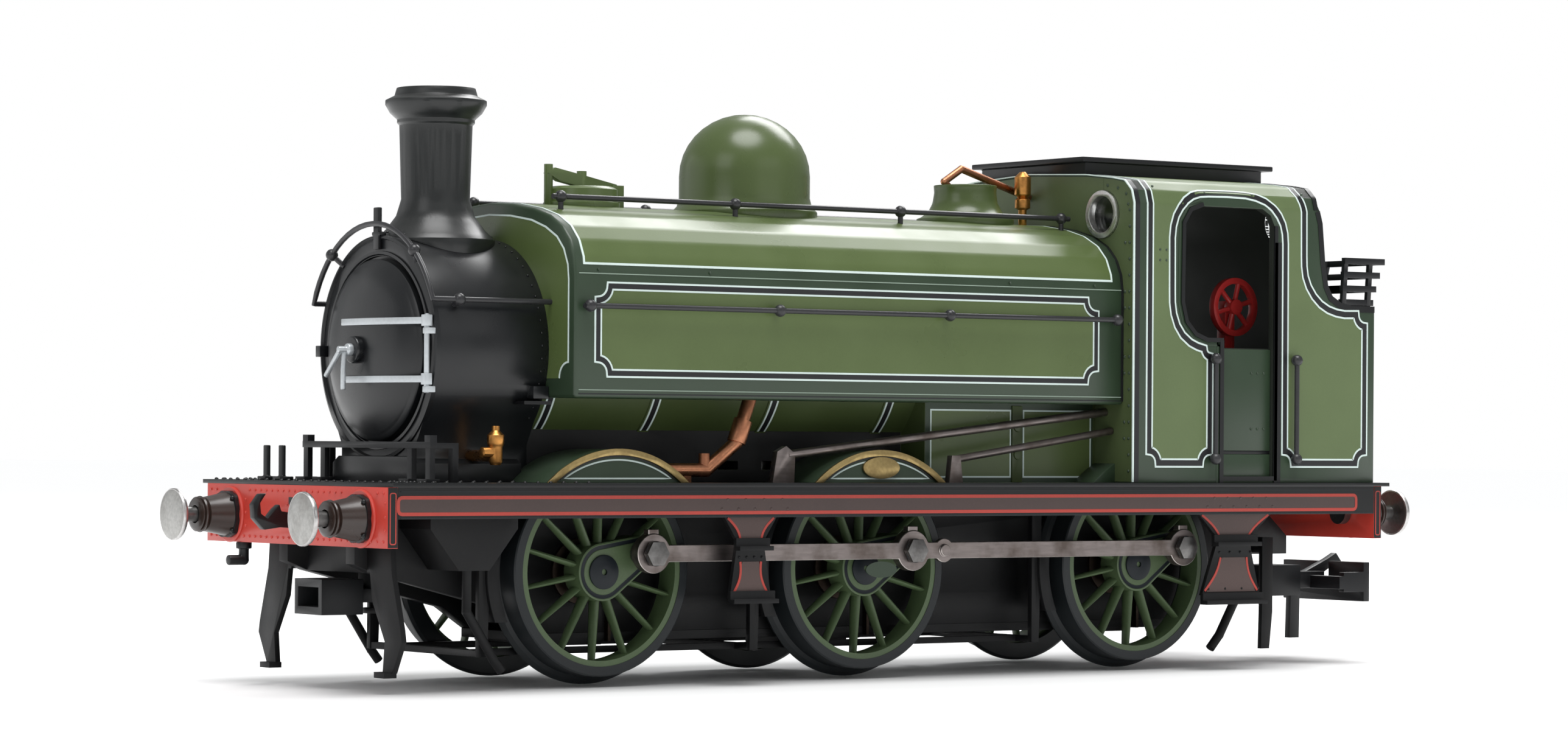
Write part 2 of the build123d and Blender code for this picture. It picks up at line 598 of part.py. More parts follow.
def make_copper_pipes():
    z = tank_top_z
    vent = wire_rod([(safety_valve_x, 0, z + 1.6), (safety_valve_x - 2.6, 0, z + 3.9),
                     (safety_valve_x - 0.5, 0.0, z + 5.2), (cab_front_x - 0.2, 0, z + 2.7)], 0.35)
    vent = vent - make_safety_valve_cover()
    low_z = footplate_z + 1.1
    feed = wire_rod([(-13.5, -11.1, tank_low_z + 0.3), (-14.9, -10.9, footplate_z + 3.6),
                     (-18.0, -10.6, low_z), (-22.2, -10.5, low_z)], 0.62)
    feed = feed + wire_rod([(-14.2, -11.0, footplate_z + 5.6), (-14.9, -10.9, footplate_z + 3.6)], 0.85)
    feed = feed + span_z(low_z, footplate_z + 2.6, -18.2, -10.6, 0.5)
    feed = feed + box(-20.6, -19.8, -10.9, -10.2, footplate_z, low_z)
    feed = feed - tank_core() - make_boiler() - make_splashers()
    return Compound([vent, feed, right_side(feed)])


def make_reach_rods():
    y = -11.4
    upper = wire_rod([(-9.6, y, footplate_z + 2.5), (cab_front_x - 0.1, y, footplate_z + 6.7)], 0.4)
    lower = wire_rod([(8.8, y - 0.9, footplate_z + 2.1), (cab_front_x - 0.1, y - 0.9, footplate_z + 4.9)], 0.35)
    arm = plate_xz([(-11.4, footplate_z), (-9.0, footplate_z), (-8.9, footplate_z + 2.6),
                    (-9.9, footplate_z + 3.3), (-10.9, footplate_z + 2.8)], y - 0.35, y + 0.35)
    crank = plate_xz([(8.2, footplate_z), (9.8, footplate_z), (9.5, footplate_z + 2.5),
                      (8.5, footplate_z + 2.5)], y - 1.25, y - 0.55)
    return Compound([upper + arm, lower + crank])


# ---------------------------------------------------------------- cab
def cab_side_outline():
    z = bunker_z
    x = cab_roof_end_x
    return [(cab_front_x, footplate_z - 2), (bunker_end_x, footplate_z - 2), (bunker_end_x, z),
            (56.3, z), (54.9, z + 0.25), (53.7, z + 0.9), (53.1, z + 1.9), (52.7, z + 4.0),
            (52.3, eaves_z - 1.2), (x, eaves_z + 1.0), (x, roof_z + 1), (cab_front_x, roof_z + 1)]


def cab_opening():
    low = footplate_z + 13.9
    top = eaves_z - 0.1
    arch = [(39.4, low), (46.0, low), (46.0, top - 1.6), (45.5, top - 0.6), (44.4, top),
            (36.8, top), (35.3, top - 0.5), (34.5, top - 1.7), (34.4, low + 3.4), (34.9, low + 1.6),
            (36.0, low + 0.5), (37.4, low)]
    return plate_xz(arch, -cab_half_w - 2, cab_half_w + 2)


def spectacle_centres():
    z = eaves_z - 1.0
    return [(-10.9, z), (10.9, z)]


def make_cab_body():
    silhouette = plate_xz(cab_side_outline(), -cab_half_w - 1, cab_half_w + 1)
    cab = silhouette & plate_yz(cab_outline(0), cab_front_x, bunker_end_x)
    hollow = plate_yz(cab_outline(sheet), cab_front_x + sheet, cab_roof_end_x - sheet)
    cab = cab - hollow
    pit = box(cab_roof_end_x, bunker_end_x - sheet, -cab_half_w + sheet, cab_half_w - sheet,
              bunker_z - 4.0, roof_z + 2)
    under = box(cab_roof_end_x, bunker_end_x - sheet, -cab_half_w + sheet, cab_half_w - sheet,
                footplate_z - 1, bunker_z - 4.8)
    cab = cab - pit - under
    cab = cab - cab_opening()
    door = box(39.4, 46.0, cab_half_w - sheet - 1, cab_half_w + 1, footplate_z + 0.6, bunker_z)
    cab = cab - both_sides(door)
    for y, z in spectacle_centres():
        cab = cab - span_x(cab_front_x - 1, cab_roof_end_x + 2, y, z, 2.0)
    cab = cab - boiler_skin(boiler_r - 1.0, cab_front_x - 1, cab_front_x + sheet)
    gate = both_sides(box(39.0, 46.4, cab_half_w - sheet - 0.7, cab_half_w - sheet,
                          footplate_z, footplate_z + 13.0))
    below = box(cab_front_x - 2, bunker_end_x + 2, -20, 20, footplate_z - 3, footplate_z)
    return cut_wells(cab + gate - below)


def make_spectacle_rims():
    pieces = []
    for y, z in spectacle_centres():
        ring = span_x(cab_front_x - 0.35, cab_front_x, y, z, 2.3)
        ring = ring + span_x(cab_front_x, cab_front_x + 0.4, y, z, 2.0)
        pieces.append(ring - span_x(cab_front_x - 1, cab_front_x + 1, y, z, 1.75))
    return Compound(pieces)


def make_cab_glazing():
    panes = []
    for y, z in spectacle_centres():
        panes.append(span_x(cab_front_x + 0.4, cab_front_x + sheet, y, z, 2.0))
        panes.append(span_x(cab_roof_end_x - sheet, cab_roof_end_x, y, z, 2.0))
    return Compound(panes)


def make_cab_backhead():
    x = cab_front_x + sheet
    face = [(-7.6, footplate_z), (7.6, footplate_z), (7.6, boiler_z + 1.0), (5.4, boiler_z + 5.0),
            (0, boiler_z + 6.6), (-5.4, boiler_z + 5.0), (-7.6, boiler_z + 1.0)]
    body = plate_yz(face, x, x + 2.6)
    floor_z = axle_z + flange_r + 1.1
    floor = box(x, cab_roof_end_x - sheet, -cab_half_w + 1.6, cab_half_w - 1.6, footplate_z, floor_z)
    body = body + floor
    body = body + box(x + 2.6, x + 3.2, -2.2, 2.2, footplate_z + 5.0, footplate_z + 8.2)
    for y, z in ((-3.4, boiler_z + 2.6), (3.4, boiler_z + 2.6), (0, boiler_z + 4.2)):
        body = body + span_x(x + 2.6, x + 3.1, y, z, 0.9)
    body = body + wire_rod([(x + 3.3, -1.5, boiler_z), (x + 3.3, 4.2, boiler_z + 1.2)], 0.3)
    body = body + span_x(x + 2.6, x + 3.4, 0, boiler_z + 0.3, 0.7)
    return cut_wells(body)


def make_roof_ventilator():
    z = roof_z
    base = box(28.4, 51.2, -7.9, 7.9, z - 1.5, z + 0.85)
    top = box(27.6, 52.2, -8.5, 8.5, z + 0.85, z + 1.35)
    return base + top - plate_yz(cab_outline(0), cab_front_x - 2, bunker_end_x)


def make_brake_wheel():
    x = 46.6
    y = -9.0
    z = footplate_z + 17.2
    rim = span_y(y - 0.35, y + 0.35, x, z, 2.87) - span_y(y - 1, y + 1, x, z, 2.3)
    for i in range(6):
        a = radians(60 * i + 15)
        end = (x + 2.5 * cos(a), y, z + 2.5 * sin(a))
        rim = rim + wire_rod([(x, y, z), end], 0.25)
    rim = rim + span_y(y - 0.5, y + 0.5, x, z, 0.75)
    floor_z = axle_z + flange_r + 1.1
    column = box(x - 0.6, x + 0.6, y + 0.5, y + 1.7, floor_z, z + 0.6)
    return rim + column


def make_coal_rails():
    z0 = bunker_z
    bars = None
    outer_y = cab_half_w - 0.3
    for i, grow in enumerate((0.0, 0.25, 0.6, 1.1)):
        z = z0 + 0.35 + 1.35 * i
        end = bunker_end_x - 0.35 + grow
        y = outer_y + 0.15 * i
        bar = box(55.0, end, -y - 0.25, -y + 0.25, z - 0.3, z + 0.3)
        bar = both_sides(bar) + box(end - 0.25, end + 0.25, -y - 0.25, y + 0.25, z - 0.3, z + 0.3)
        bars = bar if bars is None else bars + bar
    for x, y, wide in ((55.3, -outer_y - 0.1, 0.5), (58.6, -outer_y - 0.1, 0.5)):
        strap = plate_yz([(y - 0.15, z0), (y + 0.25, z0), (y - 0.1, z0 + 4.7), (y - 0.5, z0 + 4.7)],
                         x - wide / 2, x + wide / 2)
        bars = bars + both_sides(strap)
    for y in (-8.0, 0.0, 8.0):
        strap = plate_xz([(bunker_end_x - 0.75, z0), (bunker_end_x - 0.2, z0),
                          (bunker_end_x + 0.95, z0 + 4.7), (bunker_end_x + 0.5, z0 + 4.7)],
                         y - 0.3, y + 0.3)
        bars = bars + strap
    return bars - make_cab_body()


# ---------------------------------------------------------------- handrails
def knob(x, y, z, dx, dy, dz, reach):
    ball = Pos(x, y, z) * Sphere(0.5)
    root = (x + dx * reach, y + dy * reach, z + dz * reach)
    return ball + wire_rod([(x, y, z), root], 0.25)


def tank_rails(side):
    side_y = side * (tank_half_w + 0.85)
    side_z = footplate_z + 15.4
    rail = wire_rod([(tank_front_x + 0.5, side_y, side_z), (27.0, side_y, side_z)], 0.28)
    for x in (-33.3, -12.9, 6.5, 26.7):
        rail = rail + knob(x, side_y, side_z, 0, -side, 0, 0.85)
    top_y = side * 7.2
    top_z = tank_top_z + 0.35
    top = wire_rod([(tank_front_x + 2.0, top_y, top_z), (27.0, top_y, top_z)], 0.25)
    for x in (-31.5, -12.5, 6.5, 26.0):
        top = top + knob(x, top_y, top_z, 0, 0, -1, 1.0)
    return [rail - tank_core(), top - tank_core()]


def cab_rails(side):
    y = side * (cab_half_w + 0.6)
    bars = []
    for x in (38.0, 48.5):
        bar = wire_rod([(x, y, footplate_z + 2.1), (x, y, footplate_z + 12.1)], 0.27)
        for z in (footplate_z + 2.3, footplate_z + 11.9):
            bar = bar + knob(x, y, z, 0, -side, 0, 0.6)
        bars.append(bar)
    return bars


def make_handrails():
    rails = [make_smokebox_rail()]
    for side in (-1, 1):
        rails += tank_rails(side) + cab_rails(side)
    return Compound(rails)


def make_smokebox_rail():
    r = smokebox_r + 1.0
    front_x = smokebox_front_x - 0.7
    side_deg = 22.0
    side = [(r * cos(radians(side_deg)), boiler_z + r * sin(radians(side_deg)))]
    arch = arc_points(0, boiler_z, r, side_deg, 180 - side_deg, 8)
    points = [(tank_front_x, side[0][0], side[0][1])]
    points += [(front_x, y, z) for y, z in arch]
    points += [(tank_front_x, -side[0][0], side[0][1])]
    rail = wire_rod(points, 0.28)
    for deg in (50, 130):
        a = radians(deg)
        rail = rail + wire_rod([(front_x, r * cos(a), boiler_z + r * sin(a)),
                                (smokebox_front_x, (r - 1.3) * cos(a), boiler_z + (r - 1.3) * sin(a))], 0.3)
    for sign in (-1, 1):
        a = radians(side_deg)
        y = sign * r * cos(a)
        z = boiler_z + r * sin(a)
        rail = rail + wire_rod([(smokebox_front_x + 2.0, y, z),
                                (smokebox_front_x + 2.0, y * 0.86, boiler_z + (r * sin(a)) * 0.86)], 0.3)
    return rail - boiler_skin(smokebox_r, smokebox_front_x, tank_front_x)


# ---------------------------------------------------------------- splashers and steps
def splasher_shell(x):
    outer_r = flange_r + 0.85
    inner_r = flange_r + 0.45
    out_y = -rod_inner_y - 0.9
    solid = span_y(out_y, -6.3, x, axle_z, outer_r)
    hollow = span_y(out_y + 0.5, -6.2, x, axle_z, inner_r)
    above = box(x - 20, x + 20, out_y - 1, -6.2, footplate_z, footplate_z + 10)
    return (solid & above) - hollow


def make_splashers():
    boiler = make_boiler()
    left = [splasher_shell(axles[0]) - boiler - make_smokebox(), splasher_shell(axles[1]) - boiler]
    rear = splasher_shell(axles[2]) & box(20, cab_front_x, -20, 0, 0, 40)
    left.append(rear - boiler)
    left = [solid for s in left for solid in s.solids()]
    return Compound(left + [right_side(s) for s in left])


def make_splasher_brasswork():
    pieces = []
    y = -rod_inner_y - 0.9
    for x in axles[:2]:
        ring = span_y(y - 0.25, y, x, axle_z, flange_r + 0.9)
        ring = ring - span_y(y - 1, y + 1, x, axle_z, flange_r + 0.3)
        ring = ring & box(x - 20, x + 20, y - 1, y, footplate_z, footplate_z + 10)
        pieces += [ring, right_side(ring)]
    plane = Plane(origin=(0, y, axle_z + flange_r - 0.75), x_dir=(1, 0, 0), z_dir=(0, -1, 0))
    plate = extrude(plane * Ellipse(2.1, 1.0), amount=0.25)
    return Compound(pieces + [plate, right_side(plate)])


def step_unit(x0, x1, waist, low, treads):
    z_top = underplate_z
    mid = waist[2]
    y0 = -valance_y + 0.05
    outline = [(x0, z_top), (x0, valance_low_z), (waist[0], mid), (low[0], low[2]), (low[1], low[2]),
               (waist[1], mid), (x1, valance_low_z), (x1, z_top)]
    step = plate_xz(outline, y0 + 0.6, y0 + 1.05)
    for tx0, tx1, z in treads:
        step = step + box(tx0, tx1, y0 - 0.4, y0 + 0.62, z, z + 0.4)
        step = step + box(tx0, tx1, y0 + 0.2, y0 + 0.62, z + 0.4, z + 1.1)
    return step


def make_steps():
    middle = step_unit(-19.0, -13.3, (-17.6, -14.7, 12.0), (-18.4, -13.9, 6.9),
                       [(-18.0, -14.3, 11.2), (-18.6, -13.7, 6.5)])
    rear = step_unit(37.0, 46.2, (39.4, 43.4, 11.8), (37.4, 44.8, 6.4),
                     [(38.6, 44.2, 11.1), (37.2, 45.0, 5.5)])
    return Compound([middle, rear, right_side(middle), right_side(rear)])


# ---------------------------------------------------------------- underframe detail
def make_guard_irons():
    x = -50.5
    iron = [(-frame_out_y, 11.6), (-10.4, 11.6), (-10.6, 9.4), (-12.1, 4.6), (-12.3, 3.6), (-10.8, 0.9),
            (-9.2, 0.9), (-9.5, 3.6), (-7.4, 7.0), (-7.0, 9.4), (-frame_out_y, 9.4)]
    front = plate_yz(iron, x - 0.25, x + 0.25)
    front = front + box(x - 1.0, x + 0.25, -10.7, -9.0, 0.5, 1.0)
    rear = box(51.0, 52.4, -8.6, -8.1, 4.3, axle_z + 2.4)
    rear = rear + plate_xz([(51.0, 4.4), (52.4, 4.4), (52.0, 0.7), (50.9, 0.7)], -8.6, -8.1)
    rear = rear + box(51.0, 52.4, -8.6, -frame_out_y, axle_z + 0.9, axle_z + 2.4)
    return Compound([front, rear, right_side(front), right_side(rear)])


def brake_hanger(x):
    y = -(wheel_back_y + 1.9)
    top_x = x - flange_r - 1.6
    outline = [(top_x - 0.6, underplate_z), (top_x + 0.6, underplate_z), (top_x + 0.5, 8.0),
               (top_x + 0.3, 2.0), (top_x - 0.6, 2.0), (top_x - 0.6, 8.0)]
    hanger = plate_xz(outline, y - 0.3, y + 0.3)
    shoe = span_y(y - 0.7, y + 0.7, x, axle_z, flange_r + 1.6)
    shoe = shoe & box(x - 12, x - 6, y - 1, y + 1, 5.0, 10.6)
    shoe = shoe - span_y(y - 1, y + 1, x, axle_z, flange_r + 0.4)
    beam = box(top_x - 0.5, top_x + 0.2, y, 0, 2.0, 2.6)
    return hanger + shoe + beam


def make_brake_gear():
    pull_rod = box(axles[0] - flange_r - 2.0, axles[2] - flange_r - 1.4, -frame_out_y - 0.4,
                   -frame_out_y + 0.1, 2.0, 2.6)
    left = pull_rod
    for x in axles:
        left = left + brake_hanger(x)
    return both_sides(left)


def make_sand_gear():
    boxes = plate_xz([(-47.5, underplate_z), (-38.6, underplate_z), (-38.6, 13.2), (-41.5, 9.6),
                      (-44.6, 9.6), (-47.5, 13.2)], -11.6, -frame_out_y)
    boxes = boxes - box(-42.4, -38.0, -9.9, -8.4, 9.0, underplate_z)
    pipe = wire_rod([(-43.0, -10.3, 10.0), (-43.0, -10.3, 6.0), (-40.2, -10.3, 1.8), (-39.4, -10.3, 0.8)],
                    0.42)
    rear = wire_rod([(48.5, -9.0, underplate_z), (48.5, -9.0, 8.0), (45.0, -9.0, 2.2), (43.8, -9.0, 0.9)], 0.45)
    left = [boxes + pipe, rear]
    return Compound(left + [right_side(s) for s in left])


# ---------------------------------------------------------------- couplings
def make_front_pocket():
    arm = box(-52.0, -44.6, -1.2, 1.2, 6.6, 7.8)
    arm = arm + box(-52.8, -48.6, -2.35, 2.35, 5.6, 8.7)
    arm = arm - box(-54.0, -49.2, -1.75, 1.75, 6.3, 8.0)
    arm = arm + span_z(6.6, beam_low_z - 2.5, front_pivot_x, 0, 1.5)
    return arm - span_z(0, 20, front_pivot_x, 0, 0.6 + running_gap)


def make_rear_pocket():
    arm = box(50.5, 60.2, -1.2, 1.2, 6.6, 7.8)
    arm = arm + box(56.6, 62.0, -2.35, 2.35, 5.6, 8.7)
    arm = arm - box(57.4, 63.0, -1.65, 1.65, 6.3, 8.0)
    arm = arm + span_z(6.6, axle_z + 0.6, rear_pivot_x, 0, 1.5)
    return arm - span_z(0, 20, rear_pivot_x, 0, 0.6 + running_gap)


def make_coupling_bar():
    x = rear_beam_x + 7.4
    shank = box(57.4, 66.0, -1.65, 1.65, 6.3, 8.0)
    shank = shank - box(62.4, 66.0, -0.55, 0.55, 5.0, 9.0)
    bar = box(x - 0.4, x + 0.4, -5.95, 5.95, 5.0, 9.0)
    ears = both_sides(box(64.6, x, -5.95, -5.2, 6.0, 8.0)) + both_sides(box(64.0, 65.2, -5.95, -1.0, 6.3, 7.6))
    bar = bar - box(x - 1, x + 1, -0.75, 0.75, 7.0, 10.0)
    return shank + ears + bar


def make_coupling_hook():
    outline = [(62.6, 6.6), (64.2, 6.6), (66.4, 7.5), (67.9, 8.3), (coupling_tip_x, 8.1),
               (coupling_tip_x, 8.9), (68.8, 9.8), (67.6, 9.2), (64.4, 7.9), (63.2, 8.0), (62.6, 7.6)]
    hook = plate_xz(outline, -0.4, 0.4)
    tail = plate_xz([(62.6, 7.0), (63.8, 7.0), (63.7, 1.2), (62.4, 1.2)], -0.35, 0.35)
    return hook + tail


# ---------------------------------------------------------------- electrics
def make_electrics():
    pickups = []
    for x in axles:
        blade = box(x + 2.9, x + 3.2, -wheel_back_y + 0.15, -frame_out_y, 3.0, 12.0)
        pickups += [blade, right_side(blade)]
    return Compound(pickups)


def main():
    save("chassis_frame", make_chassis_frame())
    save("keeper_plate", make_keeper_plate())
    save("axle_bearings", make_axle_bearings())
    for name, x in zip(("leading", "driving", "trailing"), axles):
        save_wheelset(name, x)
    save("worm_wheel", make_worm_wheel())
    save("worm", make_worm())
    save("motor_shaft", make_motor_shaft())
    save("motor_can", make_motor_can())
    save("left_coupling_rods", make_rods(left_crank_deg))
    save("right_coupling_rods", right_side(make_rods(right_crank_deg)))
    save("footplate", make_footplate())
    save("front_buffer_beam", make_beam(front_end_x, front_end_x + 1.0))
    save("rear_buffer_beam", make_beam(rear_beam_x - 1.0, rear_beam_x))
    save("buffer_housings", make_buffer_housings())
    for end, x, sign in (("front", front_end_x, -1), ("rear", rear_beam_x, 1)):
        for side, y in (("left", -buffer_y), ("right", buffer_y)):
            save(end + "_" + side + "_buffer", make_buffer_head(x, y, sign))
    save("beam_fittings", make_beam_fittings())
    save("front_rail", make_front_rail())
    save("smokebox", make_smokebox())
    save("smokebox_door", make_smokebox_door())
    save("door_furniture", make_door_furniture())
    save("chimney", make_chimney())
    save("boiler", make_boiler())
    save("saddle_tank", make_saddle_tank())
    save("ballast", make_ballast())
    save("dome", make_dome())
    save("tank_filler", make_tank_filler())
    save("safety_valve_cover", make_safety_valve_cover())
    save("brass_fittings", make_brass_fittings())
    save("copper_pipes", make_copper_pipes())
    save("reach_rods", make_reach_rods())
    save("cab_body", make_cab_body())
    save("spectacle_rims", make_spectacle_rims())
    save("cab_glazing", make_cab_glazing())
    save("cab_backhead", make_cab_backhead())
    save("roof_ventilator", make_roof_ventilator())
    save("brake_wheel", make_brake_wheel())
    save("coal_rails", make_coal_rails())
    save("handrails", make_handrails())
    save("splashers", make_splashers())
    save("splasher_brasswork", make_splasher_brasswork())
    save("steps", make_steps())
    save("guard_irons", make_guard_irons())
    save("brake_gear", make_brake_gear())
    save("sand_gear", make_sand_gear())
    save("front_coupler_pocket", make_front_pocket())
    save("rear_coupler_pocket", make_rear_pocket())
    save("rear_coupling_bar", make_coupling_bar())
    save("rear_coupling_hook", make_coupling_hook())
    save("wheel_pickups", make_electrics())


main()
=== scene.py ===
import json
import math
import random
from bisect import bisect_right

import bmesh
import bpy
from mathutils import Matrix, Vector
from mathutils.bvhtree import BVHTree

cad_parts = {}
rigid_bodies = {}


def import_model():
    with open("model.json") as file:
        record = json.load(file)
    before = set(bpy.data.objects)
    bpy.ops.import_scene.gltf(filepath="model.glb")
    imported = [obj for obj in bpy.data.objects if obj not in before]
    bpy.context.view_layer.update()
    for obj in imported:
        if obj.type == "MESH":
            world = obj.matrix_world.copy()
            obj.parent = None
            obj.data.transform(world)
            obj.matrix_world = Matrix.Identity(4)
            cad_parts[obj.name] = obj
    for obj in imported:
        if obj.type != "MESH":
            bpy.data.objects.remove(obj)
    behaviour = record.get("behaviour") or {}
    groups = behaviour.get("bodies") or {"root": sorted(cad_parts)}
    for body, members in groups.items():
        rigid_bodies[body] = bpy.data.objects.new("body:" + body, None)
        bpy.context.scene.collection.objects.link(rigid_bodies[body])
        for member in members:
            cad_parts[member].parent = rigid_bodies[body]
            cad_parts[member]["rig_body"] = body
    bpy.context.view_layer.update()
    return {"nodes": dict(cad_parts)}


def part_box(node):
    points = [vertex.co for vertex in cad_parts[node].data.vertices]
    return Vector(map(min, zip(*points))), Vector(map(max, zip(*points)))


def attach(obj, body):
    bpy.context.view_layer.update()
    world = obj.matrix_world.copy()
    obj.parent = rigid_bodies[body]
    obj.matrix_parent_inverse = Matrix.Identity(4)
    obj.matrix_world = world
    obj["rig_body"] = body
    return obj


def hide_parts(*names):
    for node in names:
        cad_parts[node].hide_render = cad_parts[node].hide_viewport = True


bl_info = {
    "name": "Saddle Tank Locomotive",
    "version": (1, 0, 0),
    "blender": (4, 5, 0),
    "location": "3D View > Sidebar > Locomotive",
    "description": "Paints, lines and details a model saddle tank locomotive",
    "category": "Object",
}

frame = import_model()

# Sizes and places are in millimetres: x behind the driving axle, y right of the middle, z above the rail.
MM = 0.001
TREAD_R = 9.3
TYRE_LO, TYRE_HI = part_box("driving_tyres")
AXLE_X = (TYRE_LO.x + TYRE_HI.x) / 2
RAIL_Z = (TYRE_LO.z + TYRE_HI.z) / 2 - TREAD_R * MM
AXLES = {name: ((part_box(name + "_tyres")[0].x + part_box(name + "_tyres")[1].x) / 2 - AXLE_X) / MM
         for name in ("leading", "driving", "trailing")}


def at(x, y, z):
    """A point in the frame, in metres, from a place in millimetres."""
    return Vector((AXLE_X + x * MM, y * MM, RAIL_Z + z * MM))


def edges_of(node):
    """Lowest and highest corners of a CAD node, in millimetres."""
    lo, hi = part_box(node)
    return (Vector(((lo.x - AXLE_X) / MM, lo.y / MM, (lo.z - RAIL_Z) / MM)),
            Vector(((hi.x - AXLE_X) / MM, hi.y / MM, (hi.z - RAIL_Z) / MM)))


def middle_of(node):
    """Middle of a CAD node's box, in millimetres."""
    lo, hi = edges_of(node)
    return [(a + b) / 2 for a, b in zip(lo, hi)]


# ------------------------------------------------------------------ sizes
CRANK_THROW = 4.2
CRANK_ANGLES = {-1: 23.0, 1: 113.0}      # in degrees, for the left side (-1) and the right side (1)
WHEEL_FACE = 10.45                       # from the middle of the locomotive to the front of a wheel
SPLASHER_R = TREAD_R + 0.7
FOOTPLATE = edges_of("footplate")[1].z
FRONT_BEAM = edges_of("front_buffer_beam")[0].x
REAR_BEAM = edges_of("rear_buffer_beam")[1].x
BEAM_LOW = edges_of("front_buffer_beam")[0].z
VALANCE_Y = edges_of("front_buffer_beam")[1].y
STEP_Y = VALANCE_Y - 0.65
BUFFER_Y, BUFFER_Z = middle_of("front_right_buffer")[1:]
BUFFER_REACH = FRONT_BEAM - edges_of("front_right_buffer")[0].x
DOOR_Z = middle_of("smokebox_door")[2]
BOILER_Z = DOOR_Z + 0.2
BOILER_R = 9.4
FIREBOX_Y = 9.8
TANK_LO, TANK_HI = edges_of("saddle_tank")
CAB_LO, CAB_HI = edges_of("cab_body")
CAB_DOOR_Y = CAB_LO.y + 0.8
BOX_LO, BOX_HI = edges_of("smokebox")
BOX_FRONT = BOX_LO.x + 0.5
SMOKEBOX_R = BOX_HI.y
PAINT_DEPTH = 0.05                       # how far the underside of painted detail lies inside the surface
DUST_COLOUR = (0.34, 0.33, 0.31)
FLOOR_R = 3.5                            # in metres, like the camera's place and the lamps
CAMERA_PLACE = (-0.247322, -0.32752, 0.021723)
CAMERA_RIGHT = (0.82081337, -0.57115981, 0.00647202)
CAMERA_UP = (-0.0057036, 0.00313449, 0.99997882)
CAMERA_BACK = (-0.571168, -0.820832898, -0.00068484)
CAMERA_LENS = 99.62
CAMERA_SHIFT = (0.0741, 0.0389)
FINISH = {}


class LocoSizes(bpy.types.PropertyGroup):
    """Sizes that set how the fine detail looks."""
    line_width: bpy.props.FloatProperty(
        name="Line width", description="Width of a fine paint line, in millimetres",
        default=0.16, min=0.05, max=0.5)
    panel_black: bpy.props.FloatProperty(
        name="Panel black width", description="Width of the black band between two fine lines, in millimetres",
        default=0.46, min=0.1, max=1.0)
    rivet_size: bpy.props.FloatProperty(
        name="Rivet size", description="Radius of a rivet head, in millimetres",
        default=0.13, min=0.05, max=0.4)
    rail_size: bpy.props.FloatProperty(
        name="Handrail size", description="Radius of a handrail wire, in millimetres",
        default=0.25, min=0.1, max=0.5)
    spokes: bpy.props.IntProperty(
        name="Spokes", description="Number of spokes in a wheel", default=14, min=6, max=24)
    edge_softness: bpy.props.FloatProperty(
        name="Edge softness", description="Width of the rounding on edges that set no width, in millimetres",
        default=0.07, min=0.0, max=0.4)


class LocoColours(bpy.types.PropertyGroup):
    """Paint colours."""
    panel: bpy.props.FloatVectorProperty(
        name="Panel green", description="Light green of the lined panels", subtype="COLOR", size=3,
        default=(0.089, 0.128, 0.040))
    border: bpy.props.FloatVectorProperty(
        name="Border green", description="Dark green round the panels", subtype="COLOR", size=3,
        default=(0.026, 0.047, 0.025))
    line: bpy.props.FloatVectorProperty(
        name="Line", description="Pale colour of the fine lines", subtype="COLOR", size=3,
        default=(0.66, 0.78, 0.74))
    valance: bpy.props.FloatVectorProperty(
        name="Valance brown", description="Purple brown of the valances", subtype="COLOR", size=3,
        default=(0.064, 0.040, 0.036))
    beam: bpy.props.FloatVectorProperty(
        name="Beam red", description="Red of the buffer beams", subtype="COLOR", size=3,
        default=(0.52, 0.045, 0.030))


def sizes():
    return bpy.context.scene.loco_sizes


# ------------------------------------------------------------------ nodes and finishes
def add_node(tree, kind, inputs, **settings):
    """Adds a node, then sets or links each input; a list links several sockets to one input."""
    node = tree.nodes.new(kind)
    for name, value in settings.items():
        setattr(node, name, value)
    for key, value in inputs.items():
        for item in value if isinstance(value, list) else [value]:
            if isinstance(item, bpy.types.NodeSocket):
                tree.links.new(item, node.inputs[key])
            else:
                node.inputs[key].default_value = item
    return node


def new_finish(name):
    """Keeps a new material under its name; gives its tree, its shader and the object's coordinates."""
    finish = bpy.data.materials.new(name)
    finish.use_nodes = True
    FINISH[name] = finish
    tree = finish.node_tree
    return tree, tree.nodes["Principled BSDF"], tree.nodes.new("ShaderNodeTexCoord").outputs["Object"]


def noise(tree, place, scale, detail=3.0, stretch=(1, 1, 1)):
    """A cloudy pattern; a larger scale makes it finer."""
    mapping = add_node(tree, "ShaderNodeMapping", {"Vector": place, "Scale": stretch})
    texture = add_node(tree, "ShaderNodeTexNoise", {
        "Vector": mapping.outputs["Vector"], "Scale": scale, "Detail": detail})
    return texture.outputs["Fac"]


def spread(tree, value, a, b, low, high):
    """Turns values from a to b into values from low to high."""
    node = add_node(tree, "ShaderNodeMapRange", {
        "From Min": a, "From Max": b, "To Min": low, "To Max": high, "Value": value})
    return node.outputs["Result"]


def blend_colours(tree, factor, first, second):
    """Mixes two colours, each a socket or three numbers."""
    first, second = [c if isinstance(c, bpy.types.NodeSocket) else (*c, 1.0) for c in (first, second)]
    node = add_node(tree, "ShaderNodeMix", {6: first, 7: second, 0: factor}, data_type="RGBA")
    return node.outputs[2]


def roughen(tree, shader, height, strength, distance):
    """Raises a pattern slightly from the surface."""
    bump = add_node(tree, "ShaderNodeBump", {"Strength": strength, "Distance": distance, "Height": height})
    tree.links.new(bump.outputs["Normal"], shader.inputs["Normal"])


def shade(colour, k):
    """The colour made lighter or darker."""
    return tuple(min(1.0, c * k) for c in colour)


